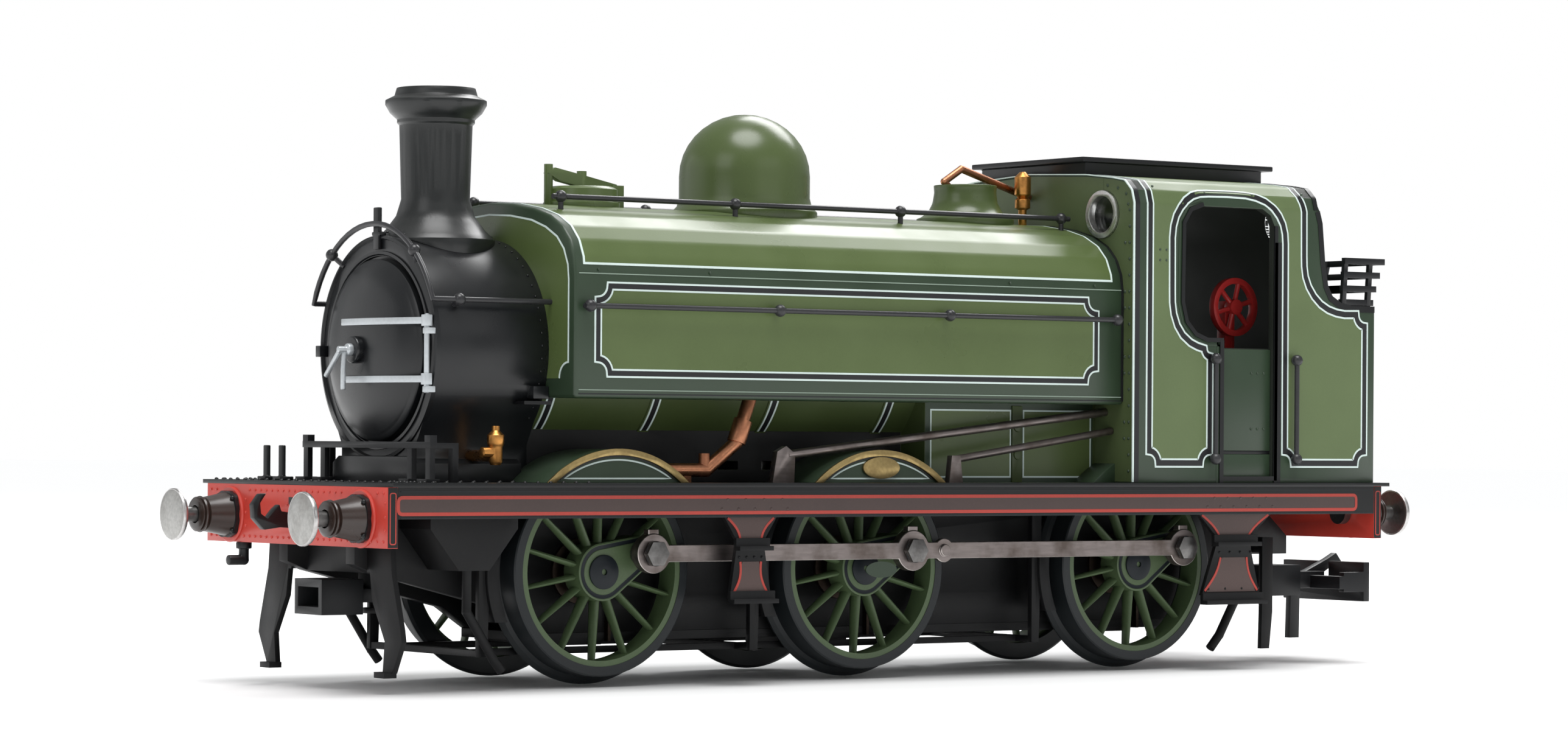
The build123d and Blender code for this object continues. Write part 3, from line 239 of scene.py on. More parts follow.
def paint(name, colour, gloss=0.4, metallic=0.0, patches=0.10, grain=0.05, grain_size=5200.0, dust=0.0, coat=0.0,
          specular=0.5):
    """A painted or moulded finish: uneven colour, fine surface grain and settled dust."""
    tree, shader, place = new_finish(name)
    clouds = noise(tree, place, 160.0, 4.0)
    tone = blend_colours(tree, spread(tree, clouds, 0.3, 0.7, 0.0, 1.0), shade(colour, 1 - patches),
                         shade(colour, 1 + patches))
    speck = noise(tree, place, grain_size, 2.0)
    tone = blend_colours(tree, spread(tree, speck, 0.35, 0.75, 0.0, patches * 1.2), tone, shade(colour, 1.7))
    if dust:
        geometry = tree.nodes.new("ShaderNodeNewGeometry")
        split = add_node(tree, "ShaderNodeSeparateXYZ", {"Vector": geometry.outputs["Normal"]})
        up = spread(tree, split.outputs["Z"], 0.2, 1.0, 0.0, dust)
        settled = spread(tree, noise(tree, place, 420.0, 5.0), 0.35, 0.65, 0.3, 1.0)
        amount = add_node(tree, "ShaderNodeMath", {0: up, 1: settled}, operation="MULTIPLY")
        tone = blend_colours(tree, amount.outputs[0], tone, DUST_COLOUR)
    tree.links.new(tone, shader.inputs["Base Color"])
    uneven = spread(tree, clouds, 0.3, 0.7, max(0.05, gloss - 0.06), gloss + 0.08)
    tree.links.new(uneven, shader.inputs["Roughness"])
    shader.inputs["Metallic"].default_value = metallic
    shader.inputs["Specular IOR Level"].default_value = specular
    if coat:
        shader.inputs["Coat Weight"].default_value = coat
        shader.inputs["Coat Roughness"].default_value = 0.18
    roughen(tree, shader, speck, grain, 0.00004)


def metal(name, colour, gloss=0.3, tarnish=(0.1, 0.08, 0.07), tarnish_amount=0.35, brushed=(1, 1, 1), grain=0.08,
          size=700.0):
    """A bare metal: bright where it is handled, tarnished in patches, with fine tool marks."""
    tree, shader, place = new_finish(name)
    marks = noise(tree, place, 3600.0, 3.0, brushed)
    stain = noise(tree, place, size, 6.0)
    tone = blend_colours(tree, spread(tree, marks, 0.3, 0.7, 0.0, 1.0), shade(colour, 0.86), shade(colour, 1.08))
    tone = blend_colours(tree, spread(tree, stain, 0.45, 0.72, 0.0, tarnish_amount), tone, tarnish)
    tree.links.new(tone, shader.inputs["Base Color"])
    tree.links.new(spread(tree, stain, 0.35, 0.7, gloss - 0.04, gloss + 0.16), shader.inputs["Roughness"])
    shader.inputs["Metallic"].default_value = 1.0
    roughen(tree, shader, marks, grain, 0.00003)


def glass(name):
    """Clear glazing with faint smears."""
    tree, shader, place = new_finish(name)
    shader.inputs["Base Color"].default_value = (0.95, 0.98, 0.97, 1.0)
    shader.inputs["Transmission Weight"].default_value = 1.0
    shader.inputs["IOR"].default_value = 1.45
    smear = noise(tree, place, 500.0, 3.0)
    tree.links.new(spread(tree, smear, 0.3, 0.7, 0.02, 0.09), shader.inputs["Roughness"])
    roughen(tree, shader, smear, 0.02, 0.00003)


def mix_finishes():
    """Makes every finish; colours that the panel sets come from it."""
    c = bpy.context.scene.loco_colours
    light, dark, pale = tuple(c.panel), tuple(c.border), tuple(c.line)
    # The dome and the safety valve cover take the panel green darkened: painted shade.
    paint("dome_shaded_green", shade(light, 0.8), 0.27, patches=0.05, grain=0.05)
    paint("panel_green", light, 0.31, patches=0.05, grain=0.06, dust=0.04)
    paint("border_green", dark, 0.34, patches=0.06, grain=0.06, dust=0.04)
    # The boiler takes the panel green darkened: painted shade under the tank.
    paint("boiler_green", shade(light, 0.62), 0.38, patches=0.06, grain=0.05)
    paint("cab_green", (0.106, 0.150, 0.058), 0.40, patches=0.05, grain=0.06)
    paint("cab_front", (0.075, 0.105, 0.040), 0.45, patches=0.06, grain=0.08)
    # Pale seam lines: painted highlights along ridges of the tank.
    paint("painted_seam_highlight", (0.24, 0.31, 0.25), 0.5, patches=0.05, grain=0.02)
    paint("wheel_green", (0.075, 0.115, 0.052), 0.45, patches=0.14, grain=0.10)
    paint("line_white", pale, 0.5, patches=0.05, grain=0.02)
    paint("line_black", (0.008, 0.0085, 0.010), 0.42, patches=0.15, grain=0.04)
    paint("line_red", (0.44, 0.048, 0.034), 0.5, patches=0.08, grain=0.03)
    paint("valance_brown", tuple(c.valance), 0.45, patches=0.10, grain=0.08, dust=0.1)
    paint("step_brown", shade(tuple(c.valance), 1.25), 0.5, patches=0.12, grain=0.10, dust=0.12)
    paint("beam_red", tuple(c.beam), 0.38, patches=0.05, grain=0.06, coat=0.15)
    paint("satin_black", (0.0055, 0.006, 0.0068), 0.34, patches=0.20, grain=0.08, dust=0.02,
          specular=0.4)
    paint("smokebox_black", (0.006, 0.0068, 0.008), 0.31, patches=0.14, grain=0.10, dust=0.03)
    paint("frame_black", (0.0045, 0.0046, 0.0052), 0.50, patches=0.25, grain=0.15, dust=0.05,
          specular=0.3)
    paint("moulded_black", (0.008, 0.0085, 0.0098), 0.42, patches=0.2, grain=0.12, dust=0.05,
          specular=0.35)
    paint("chimney_black", (0.011, 0.0125, 0.0125), 0.34, patches=0.12, grain=0.12, dust=0.06)
    # Near-black green for inside the cab: painted shade.
    paint("cab_inside_shade", (0.010, 0.014, 0.009), 0.6, patches=0.15, grain=0.1)
    paint("backhead_black", (0.020, 0.022, 0.020), 0.55, patches=0.2, grain=0.1)
    paint("wheel_red", (0.50, 0.030, 0.028), 0.35, patches=0.06, grain=0.05, coat=0.2)
    paint("hub_slate", (0.009, 0.013, 0.017), 0.45, patches=0.10, grain=0.06, specular=0.3)
    paint("tyre_slate", (0.014, 0.017, 0.019), 0.34, patches=0.12, grain=0.06, specular=0.35)
    paint("housing_brown", (0.032, 0.020, 0.016), 0.28, patches=0.12, grain=0.05, coat=0.2)
    metal("rod_face", (0.26, 0.225, 0.215), 0.40, (0.085, 0.060, 0.045), 0.65, (0.15, 1, 1), 0.25, 420.0)
    metal("rod_edge", (0.60, 0.55, 0.52), 0.32, (0.2, 0.15, 0.12), 0.3, (0.2, 1, 1), 0.1)
    metal("bright_steel", (0.62, 0.61, 0.60), 0.28, (0.25, 0.22, 0.20), 0.25)
    metal("dark_steel", (0.20, 0.195, 0.19), 0.36, (0.06, 0.05, 0.05), 0.5)
    metal("nut_steel", (0.45, 0.43, 0.41), 0.34, (0.16, 0.13, 0.11), 0.45)
    metal("buffer_face", (0.46, 0.455, 0.44), 0.46, (0.24, 0.22, 0.20), 0.45, grain=0.25, size=500.0)
    paint("door_silver", (0.52, 0.55, 0.57), 0.36, metallic=0.55, patches=0.10, grain=0.35,
          grain_size=3600.0)
    metal("brass", (0.62, 0.29, 0.08), 0.28, (0.20, 0.09, 0.03), 0.45)
    metal("copper", (0.50, 0.22, 0.12), 0.30, (0.32, 0.12, 0.07), 0.35)
    # Near-black bronze: painted shade on parts behind the wheels.
    metal("bronze_in_shade", (0.055, 0.042, 0.034), 0.45, (0.06, 0.04, 0.03), 0.5)
    paint("nylon", (0.55, 0.53, 0.48), 0.45, patches=0.05, grain=0.05)
    paint("iron_weight", (0.06, 0.058, 0.055), 0.6, metallic=0.4, patches=0.2, grain=0.3)
    metal("beading_brass", (0.46, 0.34, 0.15), 0.34, (0.2, 0.14, 0.06), 0.4)
    paint("coal", (0.012, 0.012, 0.013), 0.32, patches=0.35, grain=0.5, grain_size=2400.0)
    glass("window_glass")
    paint("rail_wire", (0.020, 0.020, 0.022), 0.32, patches=0.25, grain=0.08)


# ------------------------------------------------------------------ shaping
class Form:
    """Gathers the faces of one piece, each with its finish, in metres."""

    def __init__(self):
        self.verts, self.faces, self.coats, self.finishes = [], [], [], []

    def add(self, verts, faces, finish):
        if finish not in self.finishes:
            self.finishes.append(finish)
        base, coat = len(self.verts), self.finishes.index(finish)
        self.verts += [Vector(v) for v in verts]
        self.faces += [[base + i for i in f] for f in faces]
        self.coats += [coat] * len(faces)
        return self

    def turned(self, profile, origin, axis, finish, steps=48, ring=False):
        """Turns (radius, height) points in millimetres round an axis; ring joins the last point to the first."""
        axis = Vector(axis).normalized()
        side = axis.orthogonal().normalized()
        other = axis.cross(side)
        rows, verts = [], []
        for r, h in profile:
            if r < 1e-6:
                rows.append([len(verts)])
                verts.append(at(*(Vector(origin) + axis * h)))
                continue
            rows.append(list(range(len(verts), len(verts) + steps)))
            for i in range(steps):
                a = 2 * math.pi * i / steps
                verts.append(at(*(Vector(origin) + axis * h + (side * math.cos(a) + other * math.sin(a)) * r)))
        faces = []
        pairs = list(zip(rows, rows[1:])) + ([(rows[-1], rows[0])] if ring else [])
        for low, high in pairs:
            for i in range(steps):
                j = (i + 1) % steps
                if len(low) == 1 and len(high) == 1:
                    continue
                if len(low) == 1:
                    faces.append([low[0], high[j], high[i]])
                elif len(high) == 1:
                    faces.append([low[i], low[j], high[0]])
                else:
                    faces.append([low[i], low[j], high[j], high[i]])
        if not ring:
            if len(rows[0]) > 1:
                faces.append(list(reversed(rows[0])))
            if len(rows[-1]) > 1:
                faces.append(list(rows[-1]))
        return self.add(verts, faces, finish)

    def slab(self, outline, a, b, axis, finish):
        """A flat outline of (u, v) millimetres given thickness from a to b along x, y or z."""
        def spot(u, v, w):
            return at(w, u, v) if axis == "x" else at(u, w, v) if axis == "y" else at(u, v, w)
        n = len(outline)
        verts = [spot(u, v, a) for u, v in outline] + [spot(u, v, b) for u, v in outline]
        faces = [list(range(n)), list(range(2 * n - 1, n - 1, -1))]
        faces += [[i, n + i, n + (i + 1) % n, (i + 1) % n] for i in range(n)]
        return self.add(verts, faces, finish)

    def block(self, x0, x1, y0, y1, z0, z1, finish):
        return self.slab([(x0, y0), (x1, y0), (x1, y1), (x0, y1)], z0, z1, "z", finish)

    def tube(self, path, r, finish, sides=12):
        """A round bar of radius r millimetres along points in millimetres."""
        points = [Vector(p) for p in path]
        verts, faces = [], []
        normal = (points[1] - points[0]).orthogonal().normalized()
        for k, p in enumerate(points):
            ahead = (points[min(k + 1, len(points) - 1)] - p)
            behind = (p - points[max(k - 1, 0)])
            along = ahead + behind
            if ahead.length and behind.length:
                along = ahead.normalized() + behind.normalized()
            along.normalize()
            normal = (normal - along * normal.dot(along)).normalized()
            other = along.cross(normal)
            for i in range(sides):
                a = 2 * math.pi * i / sides
                verts.append(at(*(p + (normal * math.cos(a) + other * math.sin(a)) * r)))
        for k in range(len(points) - 1):
            for i in range(sides):
                j = (i + 1) % sides
                faces.append([k * sides + i, k * sides + j, (k + 1) * sides + j, (k + 1) * sides + i])
        faces.append(list(range(sides))[::-1])
        faces.append([(len(points) - 1) * sides + i for i in range(sides)])
        return self.add(verts, faces, finish)

    def both_sides(self):
        """Repeats everything so far on the other side of the locomotive."""
        n = len(self.verts)
        self.verts += [Vector((v.x, -v.y, v.z)) for v in self.verts]
        self.faces += [[n + i for i in reversed(f)] for f in self.faces]
        self.coats += list(self.coats)
        return self

    def piece(self, name, body, slot, replaces=(), bevel=0.0, smooth=32.0, segments=2):
        mesh = bpy.data.meshes.new(name)
        mesh.from_pydata([v[:] for v in self.verts], [], self.faces)
        for finish in self.finishes:
            mesh.materials.append(FINISH[finish])
        mesh.polygons.foreach_set("material_index", self.coats)
        return settle(mesh, name, body, replaces, bevel, smooth, segments)


def settle(mesh, name, body, replaces=(), bevel=0.0, smooth=32.0, segments=2, weld=True, rim=None):
    """Cleans a mesh, rounds its edges and puts it on its body."""
    form = bmesh.new()
    form.from_mesh(mesh)
    if weld:
        bmesh.ops.remove_doubles(form, verts=form.verts, dist=2e-7)
        bmesh.ops.recalc_face_normals(form, faces=form.faces)
    form.to_mesh(mesh)
    form.free()
    obj = bpy.data.objects.new(name, mesh)
    bpy.context.scene.collection.objects.link(obj)
    if bevel:
        modifier = obj.modifiers.new("Edges", "BEVEL")
        modifier.width = bevel * MM
        modifier.segments = segments
        modifier.limit_method = "ANGLE"
        modifier.angle_limit = math.radians(30)
        modifier.use_clamp_overlap = True
        if rim is not None:
            modifier.material = rim
        view = bpy.context.evaluated_depsgraph_get()
        softened = bpy.data.meshes.new_from_object(obj.evaluated_get(view))
        obj.modifiers.clear()
        obj.data = softened
        softened.name = name
    smooth_faces(obj.data, smooth)
    return set_down(obj, body, replaces)


def set_down(obj, body, replaces):
    """Puts a piece on its body, in place of the CAD nodes it stands for."""
    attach(obj, body)
    if replaces:
        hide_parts(*replaces)
    return obj


def smooth_faces(mesh, angle):
    """Shades a mesh smooth, with edges sharper than the angle kept crisp."""
    mesh.polygons.foreach_set("use_smooth", [True] * len(mesh.polygons))
    mesh.set_sharp_from_angle(angle=math.radians(angle))
    mesh.update()


def refined(node, finish, bevel=None, segments=2, smooth=32.0, rim=None):
    """A CAD node's shape with softened edges, standing for that node."""
    source = frame["nodes"][node]
    form = bmesh.new()
    form.from_mesh(source.data)
    bmesh.ops.remove_doubles(form, verts=form.verts, dist=4e-7)
    bmesh.ops.dissolve_limit(form, angle_limit=math.radians(0.6), verts=form.verts, edges=form.edges)
    mesh = bpy.data.meshes.new(node + "_finished")
    form.to_mesh(mesh)
    form.free()
    for layer in [a.name for a in mesh.attributes if a.name == "custom_normal"]:
        mesh.attributes.remove(mesh.attributes[layer])
    mesh.materials.clear()
    mesh.materials.append(FINISH[finish])
    mesh.polygons.foreach_set("material_index", [0] * len(mesh.polygons))
    if rim:
        mesh.materials.append(FINISH[rim])
    if bevel is None:
        bevel = sizes().edge_softness
    return settle(mesh, node + "_finished", source["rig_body"], (node,), bevel, smooth, segments, weld=False,
                  rim=1 if rim else None)


def dress(finish, *nodes):
    """Gives CAD nodes that keep their own shape a finish."""
    for node in nodes:
        mesh = frame["nodes"][node].data
        mesh.materials.clear()
        mesh.materials.append(FINISH[finish])
        mesh.polygons.foreach_set("material_index", [0] * len(mesh.polygons))


# ------------------------------------------------------------------ paint lines and panels laid on a surface
def side_sheet(y, side=-1):
    """Lays (x, z) on an upright side y millimetres from the middle, on the left unless side is 1."""
    return lambda u, v, lift: at(u, side * (y + lift), v)


def barrel_sheet(r):
    """Lays (x, degrees round from the bottom) on the left of a barrel round the boiler's middle."""
    return lambda u, v, lift: at(u, -(r + lift) * math.sin(math.radians(v)),
                                 BOILER_Z - (r + lift) * math.cos(math.radians(v)))


def front_sheet(x):
    """Lays (y, z) on a flat face that looks forwards."""
    return lambda u, v, lift: at(x - lift, u, v)


def rear_sheet(x):
    """Lays (y, z) on a flat face that looks backwards."""
    return lambda u, v, lift: at(x + lift, u, v)


class Wrap:
    """The left half of a body's outline across the locomotive, measured up from its side."""

    def __init__(self, node, x, middle, datum):
        mesh = frame["nodes"][node].data
        tree = BVHTree.FromPolygons([v.co for v in mesh.vertices], [tuple(p.vertices) for p in mesh.polygons])
        self.points = []
        for i in range(0, 721):
            a = math.radians(-90 - i * 0.25)
            way = Vector((0, math.cos(a), math.sin(a)))
            hit = tree.ray_cast(at(x, 0, middle) + way * 0.08, -way, 0.16)[0]
            if hit is not None:
                self.points.append((hit.y / MM, (hit.z - RAIL_Z) / MM))
        self.run = [0.0]
        for (y0, z0), (y1, z1) in zip(self.points, self.points[1:]):
            self.run.append(self.run[-1] + math.hypot(y1 - y0, z1 - z0))
        outside = [k for k, (y, _) in enumerate(self.points) if y <= -5]
        side = min(outside, key=lambda k: abs(self.points[k][1] - datum))
        shift = self.points[side][1] - self.run[side]
        self.run = [r + shift for r in self.run]
        self.top = self.run[-1]

    def __call__(self, u, v, lift):
        k = min(max(bisect_right(self.run, v) - 1, 0), len(self.run) - 2)
        (y0, z0), (y1, z1) = self.points[k], self.points[k + 1]
        step = max(self.run[k + 1] - self.run[k], 1e-9)
        t = min(max((v - self.run[k]) / step, 0.0), 1.0)
        a, b = self.points[max(k - 3, 0)], self.points[min(k + 4, len(self.points) - 1)]
        length = max(math.hypot(b[0] - a[0], b[1] - a[1]), 1e-9)
        ny, nz = -(b[1] - a[1]) / length, (b[0] - a[0]) / length
        return at(u, y0 + (y1 - y0) * t + ny * lift, z0 + (z1 - z0) * t + nz * lift)


def finely(path, closed, step):
    """The path with points added about every step."""
    out = []
    pairs = list(zip(path, path[1:])) + ([(path[-1], path[0])] if closed else [])
    for (x0, y0), (x1, y1) in pairs:
        n = max(1, int(math.hypot(x1 - x0, y1 - y0) / step))
        out += [(x0 + (x1 - x0) * i / n, y0 + (y1 - y0) * i / n) for i in range(n)]
    return out if closed else out + [path[-1]]


def beside(path, closed, offset):
    """The path moved sideways, its corners kept square."""
    n, out = len(path), []
    for i in range(n):
        a = path[i - 1] if closed or i else path[i]
        b, c = path[i], path[(i + 1) % n] if closed or i < n - 1 else path[i]
        d0 = Vector((b[0] - a[0], b[1] - a[1]))
        d1 = Vector((c[0] - b[0], c[1] - b[1]))
        d0 = (d0 if d0.length > 1e-9 else d1).normalized()
        d1 = (d1 if d1.length > 1e-9 else d0).normalized()
        n0, n1 = Vector((-d0.y, d0.x)), Vector((-d1.y, d1.x))
        mitre = n0 + n1
        mitre = mitre / max(mitre.length_squared / 2, 0.35)
        out.append((b[0] + mitre.x * offset, b[1] + mitre.y * offset))
    return out


def ribbon(form, rows, closed, finish):
    """Joins rows of four points, one after the other, into a thin band."""
    n = len(rows)
    faces = []
    for i in range(n if closed else n - 1):
        j = (i + 1) % n
        for k in range(4):
            m = (k + 1) % 4
            faces.append([4 * i + k, 4 * j + k, 4 * j + m, 4 * i + m])
    if not closed:
        faces += [[0, 1, 2, 3], [4 * n - 1, 4 * n - 2, 4 * n - 3, 4 * n - 4]]
    form.add([point for four in rows for point in four], faces, finish)


def stripe(form, path, place, a, b, finish, closed=False, step=1.0, lift=0.05):
    """A flat painted line between two sideways distances from a path, on a surface."""
    path = finely(path, closed, step)
    rows = []
    for left, right in zip(beside(path, closed, a), beside(path, closed, b)):
        rows.append((place(*left, lift), place(*right, lift), place(*right, -PAINT_DEPTH),
                     place(*left, -PAINT_DEPTH)))
    ribbon(form, rows, closed, finish)


def lined(form, path, place, closed=False, step=1.0, width=None, black=None):
    """A black band edged with two fine pale lines."""
    w = width or sizes().line_width
    h = (black or sizes().panel_black) / 2
    stripe(form, path, place, -h, h, "line_black", closed, step, 0.05)
    stripe(form, path, place, h, h + w, "line_white", closed, step, 0.06)
    stripe(form, path, place, -h - w, -h, "line_white", closed, step, 0.06)


def panel(form, outline, place, finish, step=0.25, lift=0.03, flat=False):
    """Fills an outline with a thin coat that follows the surface, cut every step unless it is flat."""
    flat_form = bmesh.new()
    ring = [flat_form.verts.new((x, y, 0)) for x, y in outline]
    flat_form.faces.new(ring)
    if not flat:
        y = min(v for _, v in outline) + step
        while y < max(v for _, v in outline):
            geometry = flat_form.verts[:] + flat_form.edges[:] + flat_form.faces[:]
            bmesh.ops.bisect_plane(flat_form, geom=geometry, plane_co=(0, y, 0), plane_no=(0, 1, 0), dist=1e-5)
            y += step
    bmesh.ops.triangulate(flat_form, faces=flat_form.faces)
    flat_form.verts.index_update()
    top = [place(v.co.x, v.co.y, lift) for v in flat_form.verts]
    under = [place(v.co.x, v.co.y, -PAINT_DEPTH) for v in flat_form.verts]
    n = len(top)
    faces = [[v.index for v in f.verts] for f in flat_form.faces]
    down = [[n + i for i in reversed(f)] for f in faces]
    walls = []
    for e in flat_form.edges:
        if len(e.link_faces) == 1:
            a, b = e.verts[0].index, e.verts[1].index
            walls.append([a, b, n + b, n + a])
    flat_form.free()
    form.add(top + under, faces + down + walls, finish)


def arc(cx, cz, r, start, end, steps=7):
    """Points along an arc, from one angle to another in degrees."""
    return [(cx + r * math.cos(math.radians(start + (end - start) * i / steps)),
             cz + r * math.sin(math.radians(start + (end - start) * i / steps))) for i in range(steps + 1)]


def notched(x0, x1, z0, z1, r):
    """A rectangle whose corners are scooped inwards."""
    return arc(x0, z0, r, 90, 0) + arc(x1, z0, r, 180, 90) + arc(x1, z1, r, 270, 180) + arc(x0, z1, r, 0, -90)


def rounded(points, r, steps=6):
    """A closed outline with each corner rounded."""
    out, n = [], len(points)
    for i in range(n):
        p, c, q = Vector(points[i - 1]), Vector(points[i]), Vector(points[(i + 1) % n])
        a = c + (p - c).normalized() * min(r, (p - c).length / 2)
        b = c + (q - c).normalized() * min(r, (q - c).length / 2)
        for k in range(steps + 1):
            t = k / steps
            out.append(tuple(a * (1 - t) ** 2 + c * 2 * t * (1 - t) + b * t * t))
    return out


# ------------------------------------------------------------------ geometry node trees
def new_tree(name, sockets):
    """A geometry tree with named inputs: (label, socket type, default) each."""
    tree = bpy.data.node_groups.new(name, "GeometryNodeTree")
    tree.interface.new_socket("Geometry", in_out="INPUT", socket_type="NodeSocketGeometry")
    for label, kind, value in sockets:
        socket = tree.interface.new_socket(label, in_out="INPUT", socket_type=kind)
        if value is not None:
            socket.default_value = value
    tree.interface.new_socket("Geometry", in_out="OUTPUT", socket_type="NodeSocketGeometry")
    return tree, tree.nodes.new("NodeGroupInput").outputs, tree.nodes.new("NodeGroupOutput")


def finish_tree(tree, out, geometry, finish, smooth=True):
    """Realize Instances, smooth shading and Set Material, in that order."""
    geometry = add_node(tree, "GeometryNodeRealizeInstances", {"Geometry": geometry}).outputs["Geometry"]
    if smooth:
        geometry = add_node(tree, "GeometryNodeSetShadeSmooth", {"Geometry": geometry}).outputs["Geometry"]
    coat = add_node(tree, "GeometryNodeSetMaterial", {"Geometry": geometry, "Material": finish})
    tree.links.new(coat.outputs["Geometry"], out.inputs["Geometry"])


def grow(name, mesh, tree, values, body, replaces=(), smooth=None):
    """Runs a tree on a mesh and keeps the result as a plain piece."""
    seed = bpy.data.objects.new(name + "_seed", mesh)
    bpy.context.scene.collection.objects.link(seed)
    modifier = seed.modifiers.new("Grow", "NODES")
    modifier.node_group = tree
    for item in tree.interface.items_tree:
        if item.in_out == "INPUT" and item.name in values:
            modifier[item.identifier] = values[item.name]
    view = bpy.context.evaluated_depsgraph_get()
    made = bpy.data.meshes.new_from_object(seed.evaluated_get(view))
    bpy.data.objects.remove(seed)
    if not made.polygons:
        raise RuntimeError(name + " came out empty")
    made.name = name
    obj = bpy.data.objects.new(name, made)
    bpy.context.scene.collection.objects.link(obj)
    if smooth:
        smooth_faces(made, smooth)
    return set_down(obj, body, replaces)


def rivet_tree():
    """Low domed heads standing on a set of points, each along its own facing."""
    tree, start, out = new_tree("Rivets", [
        ("Radius", "NodeSocketFloat", 0.00013), ("Height", "NodeSocketFloat", 0.6),
        ("Finish", "NodeSocketMaterial", None)])
    ball = add_node(tree, "GeometryNodeMeshUVSphere", {"Segments": 8, "Rings": 5, "Radius": start["Radius"]})
    scale = add_node(tree, "ShaderNodeCombineXYZ", {"X": 1.0, "Y": 1.0, "Z": start["Height"]})
    squat = add_node(tree, "GeometryNodeTransform", {"Geometry": ball.outputs["Mesh"],
                                                     "Scale": scale.outputs["Vector"]})
    facing = add_node(tree, "GeometryNodeInputNamedAttribute", {"Name": "facing"}, data_type="FLOAT_VECTOR")
    turn = add_node(tree, "FunctionNodeAlignRotationToVector", {"Vector": facing.outputs["Attribute"]}, axis="Z")
    spots = add_node(tree, "GeometryNodeInstanceOnPoints", {
        "Points": start["Geometry"], "Instance": squat.outputs["Geometry"], "Rotation": turn.outputs["Rotation"]})
    finish_tree(tree, out, spots.outputs["Instances"], start["Finish"])
    return tree


def rivets(name, spots, finish, body, radius=None, height=0.6):
    """A head on each (x, y, z, facing) spot; height is a share of the radius."""
    mesh = bpy.data.meshes.new(name + "_points")
    mesh.from_pydata([at(x, y, z)[:] for x, y, z, _ in spots], [], [])
    facing = mesh.attributes.new("facing", "FLOAT_VECTOR", "POINT")
    facing.data.foreach_set("vector", [c for *_, way in spots for c in Vector(way).normalized()])
    tree = bpy.data.node_groups.get("Rivets") or rivet_tree()
    size = radius or sizes().rivet_size
    return grow(name, mesh, tree, {"Radius": size * MM, "Height": height, "Finish": FINISH[finish]}, body)


def row(start, end, count, facing):
    """Evenly spaced spots from one end to the other."""
    a, b = Vector(start), Vector(end)
    return [(*(a + (b - a) * (i / (count - 1))), facing) for i in range(count)]


def wheel_tree():
    """A rim and tapered oval spokes round an axle that lies across the locomotive."""
    tree, start, out = new_tree("Spoked wheel", [
        ("Spokes", "NodeSocketInt", 14), ("Start", "NodeSocketFloat", 0.0), ("Hub", "NodeSocketFloat", 0.002),
        ("Rim", "NodeSocketFloat", 0.0081), ("Rim depth", "NodeSocketFloat", 0.0025),
        ("Rim height", "NodeSocketFloat", 0.0005), ("Root", "NodeSocketFloat", 0.00036),
        ("Tip", "NodeSocketFloat", 0.00024), ("Oval", "NodeSocketFloat", 1.8),
        ("Place", "NodeSocketVector", None), ("Spoke place", "NodeSocketVector", None),
        ("Finish", "NodeSocketMaterial", None)])
    length = add_node(tree, "ShaderNodeMath", {0: start["Rim"], 1: start["Hub"]}, operation="SUBTRACT")
    spoke = add_node(tree, "GeometryNodeMeshCone", {
        "Vertices": 12, "Side Segments": 6, "Radius Top": start["Tip"], "Radius Bottom": start["Root"],
        "Depth": length.outputs[0]})
    lift = add_node(tree, "ShaderNodeCombineXYZ", {"Z": start["Hub"]})
    fat = add_node(tree, "ShaderNodeCombineXYZ", {"X": 1.0, "Y": start["Oval"], "Z": 1.0})
    shaped = add_node(tree, "GeometryNodeTransform", {
        "Geometry": spoke.outputs["Mesh"], "Translation": lift.outputs["Vector"],
        "Scale": fat.outputs["Vector"]})
    spots = add_node(tree, "GeometryNodeMeshLine", {"Count": start["Spokes"], "Offset": (0, 0, 0)})
    index = tree.nodes.new("GeometryNodeInputIndex")
    each = add_node(tree, "ShaderNodeMath", {0: 2 * math.pi, 1: start["Spokes"]}, operation="DIVIDE")
    angle = add_node(tree, "ShaderNodeMath", {0: index.outputs["Index"], 1: each.outputs[0], 2: start["Start"]},
                     operation="MULTIPLY_ADD")
    turn = add_node(tree, "ShaderNodeCombineXYZ", {"Y": angle.outputs[0]})
    euler = add_node(tree, "FunctionNodeEulerToRotation", {"Euler": turn.outputs["Vector"]})
    around = add_node(tree, "GeometryNodeInstanceOnPoints", {
        "Points": spots.outputs["Mesh"], "Instance": shaped.outputs["Geometry"],
        "Rotation": euler.outputs["Rotation"]})
    spokes = add_node(tree, "GeometryNodeTransform", {
        "Geometry": around.outputs["Instances"], "Translation": start["Spoke place"]})
    circle = add_node(tree, "GeometryNodeCurvePrimitiveCircle", {"Resolution": 96, "Radius": start["Rim"]})
    upright = add_node(tree, "GeometryNodeTransform", {
        "Geometry": circle.outputs["Curve"], "Rotation": (math.pi / 2, 0, 0)})
    section = add_node(tree, "GeometryNodeCurvePrimitiveQuadrilateral", {
        "Width": start["Rim height"], "Height": start["Rim depth"]})
    rim = add_node(tree, "GeometryNodeCurveToMesh", {
        "Curve": upright.outputs["Geometry"], "Profile Curve": section.outputs["Curve"]})
    ring = add_node(tree, "GeometryNodeTransform", {
        "Geometry": rim.outputs["Mesh"], "Translation": start["Place"]})
    joined = add_node(tree, "GeometryNodeJoinGeometry", {
        "Geometry": [spokes.outputs["Geometry"], ring.outputs["Geometry"]]})
    finish_tree(tree, out, joined.outputs["Geometry"], start["Finish"], smooth=False)
    return tree


